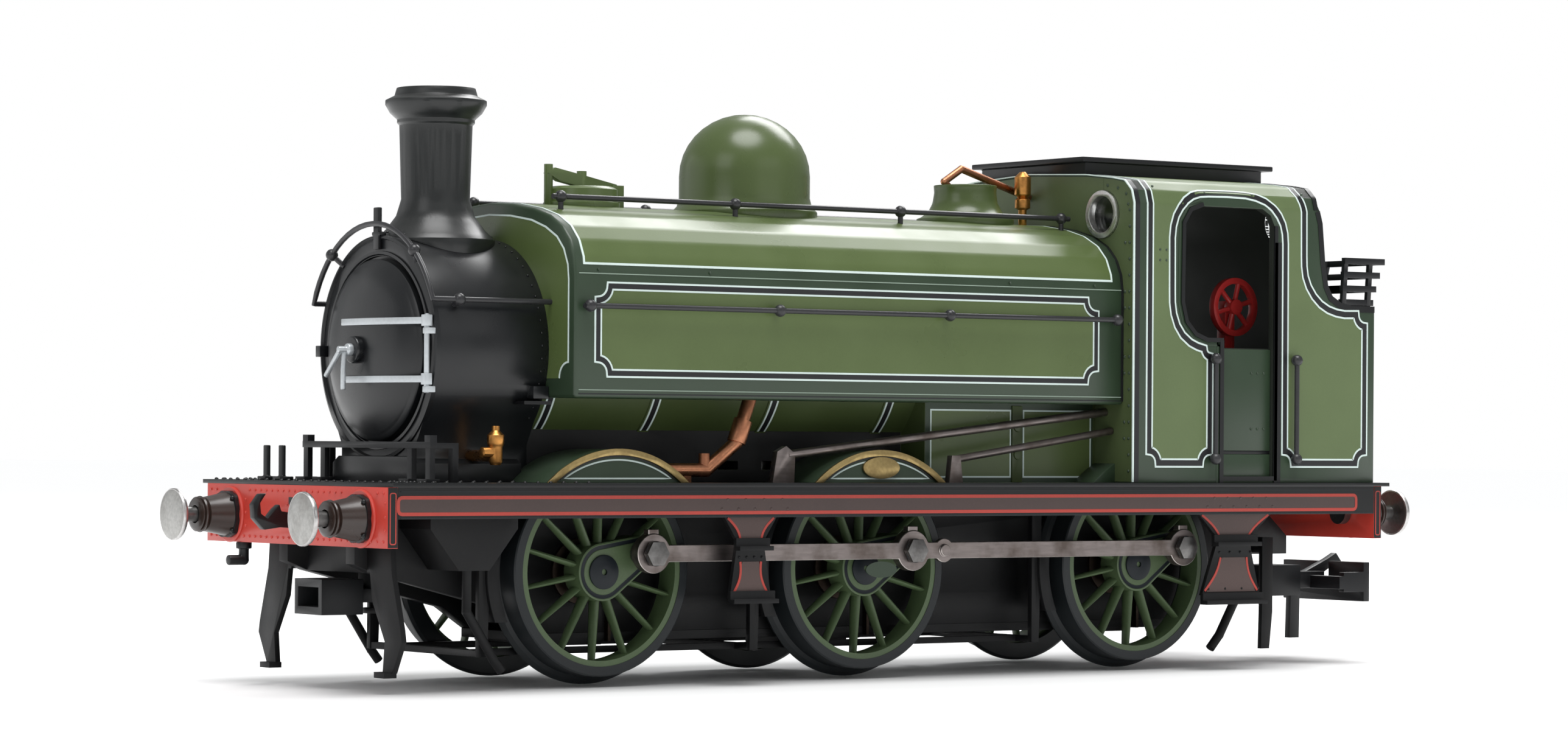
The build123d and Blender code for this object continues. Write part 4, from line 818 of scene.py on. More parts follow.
def rail_tree():
    """A round bar along every edge path, with a ball knob on each marked point."""
    tree, start, out = new_tree("Handrails", [
        ("Radius", "NodeSocketFloat", 0.00025), ("Knob", "NodeSocketFloat", 0.0005),
        ("Finish", "NodeSocketMaterial", None)])
    line = add_node(tree, "GeometryNodeMeshToCurve", {"Mesh": start["Geometry"]})
    ring = add_node(tree, "GeometryNodeCurvePrimitiveCircle", {"Resolution": 12, "Radius": start["Radius"]})
    bar = add_node(tree, "GeometryNodeCurveToMesh", {
        "Curve": line.outputs["Curve"], "Profile Curve": ring.outputs["Curve"], "Fill Caps": True})
    marked = add_node(tree, "GeometryNodeInputNamedAttribute", {"Name": "knob"}, data_type="BOOLEAN")
    ball = add_node(tree, "GeometryNodeMeshUVSphere", {"Segments": 16, "Rings": 10, "Radius": start["Knob"]})
    spots = add_node(tree, "GeometryNodeInstanceOnPoints", {
        "Points": start["Geometry"], "Selection": marked.outputs["Attribute"], "Instance": ball.outputs["Mesh"]})
    joined = add_node(tree, "GeometryNodeJoinGeometry", {
        "Geometry": [bar.outputs["Mesh"], spots.outputs["Instances"]]})
    finish_tree(tree, out, joined.outputs["Geometry"], start["Finish"])
    return tree


def rails(name, paths, finish, body, radius, knob, replaces=()):
    """Bars along lists of (x, y, z, has_knob), all made as one piece."""
    verts, edges, knobs = [], [], []
    for path in paths:
        edges += [(len(verts) + i, len(verts) + i + 1) for i in range(len(path) - 1)]
        verts += [at(x, y, z)[:] for x, y, z, _ in path]
        knobs += [has_knob for *_, has_knob in path]
    mesh = bpy.data.meshes.new(name + "_paths")
    mesh.from_pydata(verts, edges, [])
    mark = mesh.attributes.new("knob", "BOOLEAN", "POINT")
    mark.data.foreach_set("value", knobs)
    tree = bpy.data.node_groups.get("Handrails") or rail_tree()
    return grow(name, mesh, tree, {"Radius": radius * MM, "Knob": knob * MM, "Finish": FINISH[finish]}, body,
                replaces, smooth=50)


# ------------------------------------------------------------------ the pieces, one operator each
class LOCO_OT_stage(bpy.types.Operator):
    """Pale floor, soft studio lights and the camera"""
    bl_idname = "loco.stage"
    bl_label = "Stage"

    def execute(self, context):
        self.floor(context.scene)
        self.room(context.scene)
        self.lamps(context.scene)
        self.camera(context.scene)
        return {"FINISHED"}

    def floor(self, scene):
        """A wide pale floor just below the rails' height."""
        floor_mesh = bpy.data.meshes.new("floor")
        ring = [(x, y, -0.0002) for x, y in arc(0, 0, FLOOR_R, 0, 354.375, 63)]
        floor_mesh.from_pydata(ring, [], [list(range(64))])
        _, shader, _ = new_finish("floor_white")
        shader.inputs["Base Color"].default_value = (0.93, 0.93, 0.93, 1)
        shader.inputs["Roughness"].default_value = 0.55
        shader.inputs["Specular IOR Level"].default_value = 0.2
        floor_mesh.materials.append(FINISH["floor_white"])
        floor = bpy.data.objects.new("floor", floor_mesh)
        scene.collection.objects.link(floor)

    def room(self, scene):
        """A white backdrop for the camera, and softer light from all round."""
        world = bpy.data.worlds.new("studio")
        world.use_nodes = True
        tree = world.node_tree
        room = tree.nodes["Background"]
        room.inputs["Color"].default_value = (0.97, 0.99, 1.0, 1.0)
        room.inputs["Strength"].default_value = 0.38
        backdrop = add_node(tree, "ShaderNodeBackground", {"Color": (1.0, 1.0, 1.0, 1.0)})
        ray = tree.nodes.new("ShaderNodeLightPath")
        seen = add_node(tree, "ShaderNodeMath", {
            0: ray.outputs["Is Camera Ray"], 1: ray.outputs["Is Transmission Ray"]}, operation="MAXIMUM")
        choose = add_node(tree, "ShaderNodeMixShader", {
            0: seen.outputs[0], 1: room.outputs[0], 2: backdrop.outputs[0]})
        tree.links.new(choose.outputs[0], tree.nodes["World Output"].inputs["Surface"])
        scene.world = world
        scene.view_settings.view_transform = "Standard"
        scene.view_settings.look = "None"

    def lamps(self, scene):
        """Four soft boxes and a wide overhead light."""
        for name, spot, aim, wide, tall, power in (
                ("front_left", (-0.42, -0.12, 0.26), (-0.05, 0.0, 0.025), 0.22, 0.22, 0.22),
                ("side", (0.10, -0.62, 0.30), (0.0, 0.0, 0.02), 0.50, 0.25, 0.25),
                ("above_rear", (0.46, 0.24, 0.54), (0.0, 0.0, 0.03), 0.55, 0.30, 3.6),
                ("front_right", (-0.56, 0.62, 0.16), (0.0, 0.0, 0.03), 0.80, 0.50, 0.6)):
            data = bpy.data.lights.new(name, "AREA")
            data.shape = "RECTANGLE"
            data.size, data.size_y = wide, tall
            data.energy = power
            lamp = bpy.data.objects.new(name, data)
            lamp.location = spot
            lamp.rotation_mode = "QUATERNION"
            lamp.rotation_quaternion = (Vector(aim) - Vector(spot)).to_track_quat("-Z", "Y")
            scene.collection.objects.link(lamp)

        data = bpy.data.lights.new("overhead", "SUN")
        data.energy = 2.6
        data.angle = math.radians(38)
        sky = bpy.data.objects.new("overhead", data)
        sky.rotation_mode = "QUATERNION"
        sky.rotation_quaternion = Vector((0.10, 0.22, -1.0)).to_track_quat("-Z", "Y")
        scene.collection.objects.link(sky)

    def camera(self, scene):
        """The main view."""
        data = bpy.data.cameras.new("camera")
        data.lens = CAMERA_LENS
        data.sensor_width = 36.0
        data.shift_x, data.shift_y = CAMERA_SHIFT
        data.clip_start, data.clip_end = 0.01, 50.0
        camera = bpy.data.objects.new("camera", data)
        turn = Matrix((CAMERA_RIGHT, CAMERA_UP, CAMERA_BACK)).transposed()
        camera.matrix_world = Matrix.Translation(CAMERA_PLACE) @ turn.to_4x4()
        scene.collection.objects.link(camera)
        scene.camera = camera


class LOCO_OT_underframe(bpy.types.Operator):
    """Frames, keeper plate, brakes, sand pipes, steps, guard irons and couplings"""
    bl_idname = "loco.underframe"
    bl_label = "Underframe"

    def execute(self, context):
        for node in ("chassis_frame", "keeper_plate", "brake_gear", "guard_irons", "sand_gear"):
            refined(node, "frame_black", 0.06)
        for node in ("front_coupler_pocket", "rear_coupler_pocket", "rear_coupling_bar", "rear_coupling_hook"):
            refined(node, "moulded_black", 0.07)
        # Pickups and bearings are painted near black: painted shade behind the wheels.
        refined("wheel_pickups", "bronze_in_shade", 0.0)
        refined("axle_bearings", "bronze_in_shade", 0.04)
        refined("steps", "frame_black", 0.05)
        form = Form()
        place = side_sheet(STEP_Y)
        for x0, x1, w0, w1, l0, l1, waist, low in ((37.0, 46.2, 39.4, 43.4, 37.4, 44.8, 11.8, 6.4),
                                                   (-19.0, -13.3, -17.6, -14.7, -18.4, -13.9, 12.0, 6.9)):
            top, inset, k = FOOTPLATE - 3.05, 0.55, 0.32
            panel(form, [(x0 + 0.5, top), (w0 + inset, waist), (w1 - inset, waist), (x1 - 0.5, top)], place,
                  "step_brown", flat=True)
            panel(form, [(w0 + inset, waist - 1.8), (l0 + inset, low + 0.3), (l1 - inset, low + 0.3),
                         (w1 - inset, waist - 1.8)], place, "step_brown", flat=True)
            for a, b in (((x0 + k, top - 0.05), (w0 + k, waist)), ((x1 - k, top - 0.05), (w1 - k, waist)),
                         ((w0 + k, waist - 1.8), (l0 + k, low + 0.4)), ((w1 - k, waist - 1.8), (l1 - k, low + 0.4))):
                bend = 0.35 if a[0] < (x0 + x1) / 2 else -0.35
                bow = [(a[0] + (b[0] - a[0]) * t + bend * math.sin(math.pi * t), a[1] + (b[1] - a[1]) * t)
                       for t in [i / 8 for i in range(9)]]
                stripe(form, bow, place, -0.11, 0.11, "line_red")
        form.both_sides().piece("step_panels", "chassis", "step_brown")
        spots = []
        for side in (-1, 1):
            y = side * (STEP_Y + 0.02)
            for x0, x1, z in ((39.6, 43.6, 10.5), (-17.4, -14.9, 10.6), (38.2, 44.6, 7.0), (-18.0, -14.3, 7.4)):
                spots += row((x0, y, z), (x1, y, z), 4, (0, side, 0))
        rivets("step_rivets", spots, "frame_black", "chassis")
        return {"FINISHED"}


def boss_outline(x, degrees, hub, pin, steps=72):
    """The teardrop round the axle and the crank pin."""
    a = math.radians(degrees)
    px, pz = x + CRANK_THROW * math.cos(a), TREAD_R + CRANK_THROW * math.sin(a)
    lean = math.acos((hub - pin) / CRANK_THROW)
    out = []
    for i in range(steps):
        t = a + lean + (2 * math.pi - 2 * lean) * i / (steps - 1)
        out.append((x + hub * math.cos(t), TREAD_R + hub * math.sin(t)))
    for i in range(steps // 3):
        t = a - lean + 2 * lean * i / (steps // 3 - 1)
        out.append((px + pin * math.cos(t), pz + pin * math.sin(t)))
    return out


class LOCO_OT_wheels(bpy.types.Operator):
    """Spoked wheels with lined bosses, tyres and axles"""
    bl_idname = "loco.wheels"
    bl_label = "Wheels"

    def execute(self, context):
        tree = bpy.data.node_groups.get("Spoked wheel") or wheel_tree()
        face = WHEEL_FACE
        for axle, x in AXLES.items():
            body = axle + "_wheelset"
            dress("tyre_slate", axle + "_tyres")
            refined(axle + "_axle", "dark_steel", 0.04)
            for side, degrees in CRANK_ANGLES.items():
                seat = bpy.data.meshes.new("seat")
                seat.from_pydata([(0, 0, 0)], [], [])
                name = axle + ("_left" if side < 0 else "_right")
                values = {"Spokes": sizes().spokes, "Start": math.radians(90 - degrees + 12.8),
                          "Hub": 1.9 * MM, "Rim": 8.1 * MM, "Rim depth": 2.4 * MM, "Rim height": 0.52 * MM,
                          "Root": 0.30 * MM, "Tip": 0.20 * MM, "Oval": 2.6,
                          "Place": at(x, side * (face - 1.25), TREAD_R)[:],
                          "Spoke place": at(x, side * (face - 1.15), TREAD_R)[:], "Finish": FINISH["wheel_green"]}
                grow(name + "_spokes", seat, tree, values, body,
                     (axle + "_wheels",) if side < 0 else (), smooth=40)
                form = Form()
                rings = [boss_outline(x, degrees, r, p) for r, p in
                         ((2.62, 1.55), (2.55, 1.50), (2.42, 1.38), (2.36, 1.34), (2.02, 1.02), (1.98, 0.98))]
                depths = [face - 2.2, face + 0.10, face + 0.16, face + 0.12, face + 0.12, face + 0.17]
                coats = ["wheel_green", "wheel_green", "wheel_green", "hub_slate", "wheel_green"]
                n = len(rings[0])
                for k, coat in enumerate(coats):
                    verts = [at(u, side * depths[k], v) for u, v in rings[k]]
                    verts += [at(u, side * depths[k + 1], v) for u, v in rings[k + 1]]
                    form.add(verts, [[i, (i + 1) % n, n + (i + 1) % n, n + i] for i in range(n)], coat)
                form.add([at(u, side * depths[0], v) for u, v in rings[0]], [list(range(n))], "wheel_green")
                form.add([at(u, side * depths[-1], v) for u, v in rings[-1]], [list(range(n))], "wheel_green")
                form.turned([(1.52, 0), (1.52, 0.20), (1.46, 0.25), (0.28, 0.25), (0.26, -0.3), (0.0, -0.3)],
                            (x, side * (face + 0.12), TREAD_R), (0, side, 0), "hub_slate", 40)
                form.piece(name + "_boss", body, "wheel_green", smooth=40)
        return {"FINISHED"}


class LOCO_OT_rods(bpy.types.Operator):
    """Coupling rods, worn bright along their edges, with hexagon nuts"""
    bl_idname = "loco.rods"
    bl_label = "Coupling rods"

    def execute(self, context):
        for side, node, body in ((-1, "left_coupling_rods", "left_rods"),
                                 (1, "right_coupling_rods", "right_rods")):
            refined(node, "rod_face", 0.06, segments=1, smooth=20, rim="rod_edge")
            a = math.radians(CRANK_ANGLES[side])
            out = max(abs(corner.y) for corner in edges_of(node))
            form = Form()
            for x in AXLES.values():
                px, pz = x + CRANK_THROW * math.cos(a), TREAD_R + CRANK_THROW * math.sin(a)
                hexagon = arc(px, pz, 1.0, 12, 312, 5)
                low, high = out - 0.05, min(out + 0.62, 13.55)
                form.turned([(1.12, 0), (1.12, 0.16), (0, 0.16)], (px, side * low, pz), (0, side, 0), "line_black",
                            32)
                form.slab(hexagon, side * low, side * high, "y", "nut_steel")
            form.piece(body + "_nuts", body, "rod_steel", bevel=0.07, smooth=25)
        return {"FINISHED"}


class LOCO_OT_footplate(bpy.types.Operator):
    """Footplate with its lined valances and rows of rivets"""
    bl_idname = "loco.footplate"
    bl_label = "Footplate and valances"

    def execute(self, context):
        refined("footplate", "satin_black", 0.07)
        form = Form()
        place = side_sheet(VALANCE_Y)
        x0, x1 = FRONT_BEAM + 1.05, REAR_BEAM - 1.05
        z0, z1 = FOOTPLATE - 3.02, FOOTPLATE - 0.42
        box = [(x0, z0), (x1, z0), (x1, z1), (x0, z1)]
        panel(form, box, place, "satin_black", flat=True)
        inner = [(-53.2, z0 + 0.40), (56.9, z0 + 0.40), (56.9, z1 - 0.80), (-53.2, z1 - 0.80)]
        panel(form, rounded(inner, 0.45), place, "valance_brown", flat=True, lift=0.05)
        stripe(form, rounded(inner, 0.45), place, -0.15, 0.15, "line_red", closed=True, step=2.0, lift=0.075)
        for z in (z1 - 0.28, z0 + 0.06):
            stripe(form, [(x0 + 0.2, z), (x1 - 0.2, z)], place, -0.05, 0.05, "tyre_slate", step=3.0, lift=0.07)
        form.both_sides().piece("valance_paint", "chassis", "valance_brown")
        spots = []
        for side in (-1, 1):
            y = side * (VALANCE_Y + 0.02)
            spots += row((38.3, y, FOOTPLATE - 1.45), (44.95, y, FOOTPLATE - 1.45), 5, (0, side, 0))
            spots += row((37.4, y, FOOTPLATE - 2.30), (45.8, y, FOOTPLATE - 2.30), 6, (0, side, 0))
            spots += row((-19.2, y, FOOTPLATE - 1.45), (-13.2, y, FOOTPLATE - 1.45), 4, (0, side, 0))
            spots += row((-19.8, y, FOOTPLATE - 2.30), (-12.6, y, FOOTPLATE - 2.30), 5, (0, side, 0))
        rivets("valance_rivets", spots, "valance_brown", "chassis", radius=0.16)
        top = [(FRONT_BEAM + 0.9, -15.6 + 1.3 * i, FOOTPLATE, (0, 0, 1)) for i in range(25)]
        for side in (-1, 1):
            top += row((-52.4, side * 15.7, FOOTPLATE), (-34.0, side * 15.7, FOOTPLATE), 15, (0, 0, 1))
            for x in (-50.6, -49.2):
                top += row((x, side * 8.4, FOOTPLATE), (x, side * 15.0, FOOTPLATE), 5, (0, 0, 1))
            top += row((-45.0, side * 8.2, FOOTPLATE), (-35.6, side * 8.2, FOOTPLATE), 8, (0, 0, 1))
        rivets("footplate_bolts", top, "satin_black", "chassis", radius=0.2, height=0.9)
        return {"FINISHED"}


def buffer_housing(form, x, y, sign):
    """A turned housing on a lobed base; sign is -1 at the front and 1 at the rear."""
    origin, axis = (x, y, BUFFER_Z), (sign, 0, 0)
    form.turned([(2.5, 0), (2.5, 0.12), (2.38, 0.24), (0.8, 0.24), (0.8, 0)], origin, axis, "beam_red", 56,
                ring=True)
    lobes = []
    for i in range(72):
        a = 2 * math.pi * i / 72
        r = 2.16 + 0.17 * math.cos(4 * (a - math.pi / 4)) ** 3
        lobes.append((y + r * math.cos(a), BUFFER_Z + r * math.sin(a)))
    inner = arc(y, BUFFER_Z, 0.8, 0, 355, 71)
    low, high = x + sign * 0.2, x + sign * 0.62
    verts = [at(low, *p) for p in lobes] + [at(high, *p) for p in lobes]
    verts += [at(high, *p) for p in inner] + [at(low, *p) for p in inner]
    faces = []
    for i in range(72):
        j = (i + 1) % 72
        faces += [[i, j, 72 + j, 72 + i], [72 + i, 72 + j, 144 + j, 144 + i],
                  [144 + i, 144 + j, 216 + j, 216 + i], [216 + i, 216 + j, j, i]]
    form.add(verts, faces, "satin_black")
    form.turned([(1.95, 0.6), (1.9, 0.75), (1.52, 2.75), (1.30, 2.86), (1.30, 2.95), (1.56, 3.02), (1.62, 3.12),
                 (1.56, 3.24), (1.36, 3.30), (1.36, 3.36), (1.50, 3.40), (1.54, 3.46), (1.46, 3.54), (1.2, 3.62),
                 (0.80, 3.62), (0.80, 0.6)], origin, axis, "housing_brown", 56, ring=True)


class LOCO_OT_beams(bpy.types.Operator):
    """Buffer beams, sprung buffers and drawhooks"""
    bl_idname = "loco.beams"
    bl_label = "Buffer beams"

    def execute(self, context):
        refined("front_buffer_beam", "beam_red", 0.08)
        refined("rear_buffer_beam", "beam_red", 0.08)
        refined("beam_fittings", "satin_black", 0.09)
        form = Form()
        for y in (-BUFFER_Y, BUFFER_Y):
            buffer_housing(form, FRONT_BEAM, y, -1)
            buffer_housing(form, REAR_BEAM, y, 1)
        form.piece("buffer_housings_finished", "chassis", "housing_brown", ("buffer_housings",), smooth=38)
        bolts = []
        for x, sign in ((FRONT_BEAM, -1), (REAR_BEAM, 1)):
            for y in (-BUFFER_Y, BUFFER_Y):
                bolts += [(x + sign * 0.62, u, v, (sign, 0, 0)) for u, v in arc(y, BUFFER_Z, 2.05, 45, 315, 3)]
        rivets("buffer_bolts", bolts, "satin_black", "chassis", radius=0.24, height=1.1)
        for end, sign, x in (("front", -1, FRONT_BEAM), ("rear", 1, REAR_BEAM)):
            for side, y in (("left", -BUFFER_Y), ("right", BUFFER_Y)):
                reach = BUFFER_REACH
                head = Form()
                head.turned([(1.1, -1.85), (1.1, -1.05), (0.68, -1.05), (0.68, reach - 0.90), (0.90, reach - 0.82),
                             (2.1, reach - 0.68)], (x, y, BUFFER_Z), (sign, 0, 0), "dark_steel", 64)
                head.turned([(2.05, reach - 0.66), (2.24, reach - 0.62), (2.3, reach - 0.5), (2.3, reach - 0.28),
                             (2.24, reach - 0.20)], (x, y, BUFFER_Z), (sign, 0, 0), "bright_steel", 64)
                head.turned([(2.22, reach - 0.22), (2.12, reach - 0.17), (1.6, reach - 0.09), (1.0, reach - 0.03),
                             (0.4, reach), (0, reach)], (x, y, BUFFER_Z), (sign, 0, 0), "buffer_face", 64)
                node = end + "_" + side + "_buffer"
                head.piece(node + "_finished", node + "_body", "steel_bright", (node,), smooth=40)
        spots = []
        for x, sign in ((FRONT_BEAM - 0.02, -1), (REAR_BEAM + 0.02, 1)):
            way = (sign, 0, 0)
            for z in (FOOTPLATE - 0.85, BEAM_LOW + 0.55):
                for i in range(31):
                    y = -14.9 + 29.8 * i / 30
                    if abs(abs(y) - BUFFER_Y) > 2.4 or z < FOOTPLATE - 3:
                        spots.append((x, y, z, way))
            for y in (-15.2, -8.6, 8.6, 15.2):
                spots += row((x, y, BEAM_LOW + 1.5), (x, y, FOOTPLATE - 1.7), 3, way)
            for y in (-1.3, 1.3):
                spots += row((x, y, BUFFER_Z - 0.9), (x, y, BUFFER_Z + 1.0), 3, way)
        rivets("beam_rivets", spots, "beam_red", "chassis", radius=0.14)
        trim = Form()
        for place in (front_sheet(FRONT_BEAM), rear_sheet(REAR_BEAM)):
            z = BUFFER_Z + 1.0
            # A small black square on each beam stands for a hole: painted shade.
            hole_shade = [(0.35, z), (1.0, z), (1.0, z + 0.65), (0.35, z + 0.65)]
            panel(trim, hole_shade, place, "line_black", flat=True)
        for side in (-1, 1):
            for x in (FRONT_BEAM, REAR_BEAM - 1.0):
                sheet = side_sheet(VALANCE_Y, side)
                panel(trim, [(x + 0.03, BEAM_LOW + 0.05), (x + 0.97, BEAM_LOW + 0.05), (x + 0.97, FOOTPLATE - 0.4),
                             (x + 0.03, FOOTPLATE - 0.4)], sheet, "satin_black", flat=True)
                stripe(trim, rounded([(x + 0.22, BEAM_LOW + 0.35), (x + 0.78, BEAM_LOW + 0.35),
                                      (x + 0.78, FOOTPLATE - 0.85), (x + 0.22, FOOTPLATE - 0.85)], 0.2), sheet,
                       -0.05, 0.05, "line_red", closed=True)
        trim.piece("beam_trim", "chassis", "beam_red")
        return {"FINISHED"}


class LOCO_OT_smokebox(bpy.types.Operator):
    """Smokebox, its door and fittings, and the front rail"""
    bl_idname = "loco.smokebox"
    bl_label = "Smokebox"

    def execute(self, context):
        refined("smokebox", "smokebox_black", 0.10, smooth=28)
        refined("front_rail", "moulded_black", 0.07)
        form = Form()
        form.turned([(8.0, -0.2), (8.0, 0.78), (7.88, 0.92), (7.6, 1.02), (7.5, 1.10), (7.3, 1.22), (6.6, 1.62),
                     (5.6, 2.0), (4.4, 2.3), (3.0, 2.5), (1.6, 2.6), (0, 2.62)],
                    (BOX_FRONT + 0.4, 0, DOOR_Z), (-1, 0, 0), "smokebox_black", 96)
        form.piece("smokebox_door_finished", "chassis", "smokebox_black", ("smokebox_door",), smooth=40)
        self.furniture()
        ring = Form()
        ring.turned([(SMOKEBOX_R - 0.02, 0.10), (SMOKEBOX_R, 0.55), (SMOKEBOX_R - 0.25, 0.62),
                     (SMOKEBOX_R - 0.55, 0.10)], (BOX_FRONT + 0.4, 0, BOILER_Z), (-1, 0, 0), "smokebox_black", 96,
                    ring=True)
        ring.turned([(8.75, 0.0), (8.72, 0.14), (8.45, 0.16), (8.35, 0.0)], (BOX_FRONT, 0, DOOR_Z), (-1, 0, 0),
                    "smokebox_black", 96, ring=True)
        for side in (-1, 1):
            ring.block(-37.2, -34.4, side * 8.6, side * 10.3, BOILER_Z - 4.9, BOILER_Z - 4.6, "satin_black")
        ring.piece("smokebox_ring", "chassis", "smokebox_black", smooth=30)
        # A black patch on the saddle front stands for a hole: painted shade.
        hole_shade = Form()
        panel(hole_shade, [(-0.35, FOOTPLATE + 2.95), (0.05, FOOTPLATE + 2.8), (0.35, FOOTPLATE + 3.05),
                     (0.2, FOOTPLATE + 3.4), (-0.2, FOOTPLATE + 3.42)], front_sheet(BOX_FRONT), "line_black",
              flat=True)
        hole_shade.piece("saddle_hole_shade", "chassis", "smokebox_black")
        spots = [(-35.1, y, z, (0, y, z - BOILER_Z)) for y, z in arc(0, BOILER_Z, SMOKEBOX_R, -38, 218, 39)]
        rivets("smokebox_rivets", spots, "smokebox_black", "chassis", radius=0.10)
        return {"FINISHED"}

    def furniture(self):
        """Hinge straps and their pin, and the two door handles."""
        form = Form()
        x, z = BOX_FRONT, DOOR_Z
        for high in (BOILER_Z + 2.25, BOILER_Z - 2.8):
            strap = [(x - 0.55, -9.2), (x - 0.98, -9.2), (x - 0.98, -8.2), (x - 1.55, -6.6), (x - 2.0, -4.7),
                     (x - 2.35, -2.6), (x - 2.5, 0.0), (x - 2.45, 2.4), (x - 2.15, 2.4), (x - 1.6, -4.7)]
            form.slab(strap, high - 0.30, high + 0.30, "z", "door_silver")
            form.block(x - 1.05, x - 0.3, -9.45, -8.75, high - 0.5, high + 0.5, "door_silver")
            form.block(x - 0.95, x - 0.15, -9.75, -8.85, high - 1.15, high - 0.62, "door_silver")
        form.turned([(0.24, -4.0), (0.24, 2.75), (0.16, 2.85), (0.0, 2.85)], (x - 0.66, -9.1, BOILER_Z), (0, 0, 1),
                    "door_silver", 20)
        form.turned([(1.2, 1.2), (1.2, 2.72), (1.1, 2.85), (0.0, 2.85)], (x, 0, z), (-1, 0, 0), "smokebox_black",
                    40)
        form.turned([(0.55, 2.6), (0.55, 3.25), (0.3, 3.4), (0.3, 4.15), (0.0, 4.2)], (x, 0, z), (-1, 0, 0),
                    "door_silver", 24)
        form.tube([(x - 3.5, 0, z), (x - 3.6, 0, z - 1.8), (x - 3.6, 0, z - 3.5)], 0.24, "door_silver")
        form.tube([(x - 3.9, 0, z), (x - 3.95, 1.2, z - 1.2), (x - 4.0, 2.3, z - 2.3)], 0.24, "door_silver")
        form.block(x - 1.1, x - 0.1, 8.35, 9.15, BOILER_Z - 0.7, BOILER_Z + 0.3, "smokebox_black")
        form.piece("door_furniture_finished", "chassis", "dark_steel", ("door_furniture",), bevel=0.06, smooth=35)


class LOCO_OT_mountings(bpy.types.Operator):
    """Chimney, dome, tank filler, safety valve cover, whistle and pipes"""
    bl_idname = "loco.mountings"
    bl_label = "Chimney and mountings"

    def execute(self, context):
        refined("chimney", "chimney_black", 0.06, smooth=34)
        refined("dome", "dome_shaded_green", 0.05, smooth=40)
        refined("tank_filler", "panel_green", 0.07, smooth=34)
        refined("safety_valve_cover", "dome_shaded_green", 0.06, smooth=34)
        refined("brass_fittings", "brass", 0.05, smooth=34)
        refined("copper_pipes", "copper", 0.04, smooth=40)
        spots = []
        for x, y in arc(middle_of("chimney")[0], 0, 4.95, 0, 360 * 27 / 28, 27):
            spots.append((x, y, BOILER_Z + math.sqrt(SMOKEBOX_R ** 2 - y * y) + 0.32, (0, y * 0.1, 1)))
        rivets("chimney_rivets", spots, "chimney_black", "chassis", radius=0.15)
        return {"FINISHED"}


class LOCO_OT_boiler(bpy.types.Operator):
    """Boiler with its lined bands, firebox, splashers and reach rods"""
    bl_idname = "loco.boiler"
    bl_label = "Boiler and splashers"

    def execute(self, context):
        barrel = refined("boiler", "boiler_green", 0.05, smooth=28)
        barrel.data.materials.append(FINISH["frame_black"])
        # The lower upright faces of the barrel, above the frames, are painted black: painted shade under the boiler.
        corner = at(7.4, 0, BOILER_Z - BOILER_R + 2.5)
        for face in barrel.data.polygons:
            upright = abs(face.normal.y) > 0.9 or abs(face.normal.x) > 0.9
            if upright and face.center.z < corner.z and face.center.x < corner.x:
                face.material_index = 1
        form = Form()
        for x in (-33.2, -21.9, -8.85, 4.4):
            skin = barrel_sheet(BOILER_R + (0.12 if x > -30 else 0.02))
            for a, b, coat, lift in ((-0.27, 0.27, "line_black", 0.03), (-0.45, -0.27, "line_white", 0.04),
                                     (0.27, 0.45, "line_white", 0.04)):
                rows = [(skin(x + a, v, lift), skin(x + b, v, lift), skin(x + b, v, -PAINT_DEPTH),
                         skin(x + a, v, -PAINT_DEPTH)) for v in [42.0 + 2.0 * i for i in range(38)]]
                ribbon(form, rows, False, coat)
        side = side_sheet(FIREBOX_Y)
        z0, z1 = FOOTPLATE + 0.5, FOOTPLATE + 6.75
        panel(form, [(7.55, FOOTPLATE), (27.9, FOOTPLATE), (27.9, BOILER_Z - 2.0), (7.55, BOILER_Z - 2.0)], side,
              "border_green", flat=True, lift=0.01)
        for x0, x1 in ((8.2, 17.75), (19.35, 27.6)):
            box = [(x0, z0), (x1, z0), (x1, z1), (x0, z1)]
            panel(form, box, side, "panel_green", flat=True, lift=0.02)
            stripe(form, box, side, -0.08, 0.08, "line_white", closed=True, step=3.0, lift=0.03)
        form.both_sides().piece("boiler_lining", "chassis", "boiler_green")
        self.splashers()
        refined("reach_rods", "rod_face", 0.06, smooth=30)
        return {"FINISHED"}

    def splashers(self):
        """Splashers with their brass edges, lining and the small oval panel."""
        refined("splashers", "border_green", 0.04, smooth=30)
        refined("splasher_brasswork", "beading_brass", 0.05, smooth=30)
        form = Form()
        brass_y = edges_of("splasher_brasswork")[1].y
        side = side_sheet(brass_y - 0.25)
        outer = SPLASHER_R + 0.15
        base = FOOTPLATE + 0.25
        start = math.degrees(math.asin((base - TREAD_R) / outer))
        for x in (AXLES["leading"], AXLES["driving"]):
            arch = arc(x, TREAD_R, outer, start, 180 - start, 24)
            stripe(form, arch, side, -0.13, 0.0, "line_black", lift=0.05)
            loop = [(x + (u - x) * 0.93, base + (v - base) * 0.82 + 0.12) for u, v in arch]
            stripe(form, loop, side, -0.07, 0.07, "line_white", closed=True, lift=0.04, step=0.8)
        x, high = AXLES["driving"], SPLASHER_R - 0.75
        oval = [(x + 1.78 * math.cos(math.pi * i / 24), high + 0.74 * math.sin(math.pi * i / 24))
                for i in range(48)]
        panel(form, oval, side_sheet(brass_y), "border_green", flat=True, lift=0.03)
        form.both_sides().piece("splasher_lining", "chassis", "valance_brown")


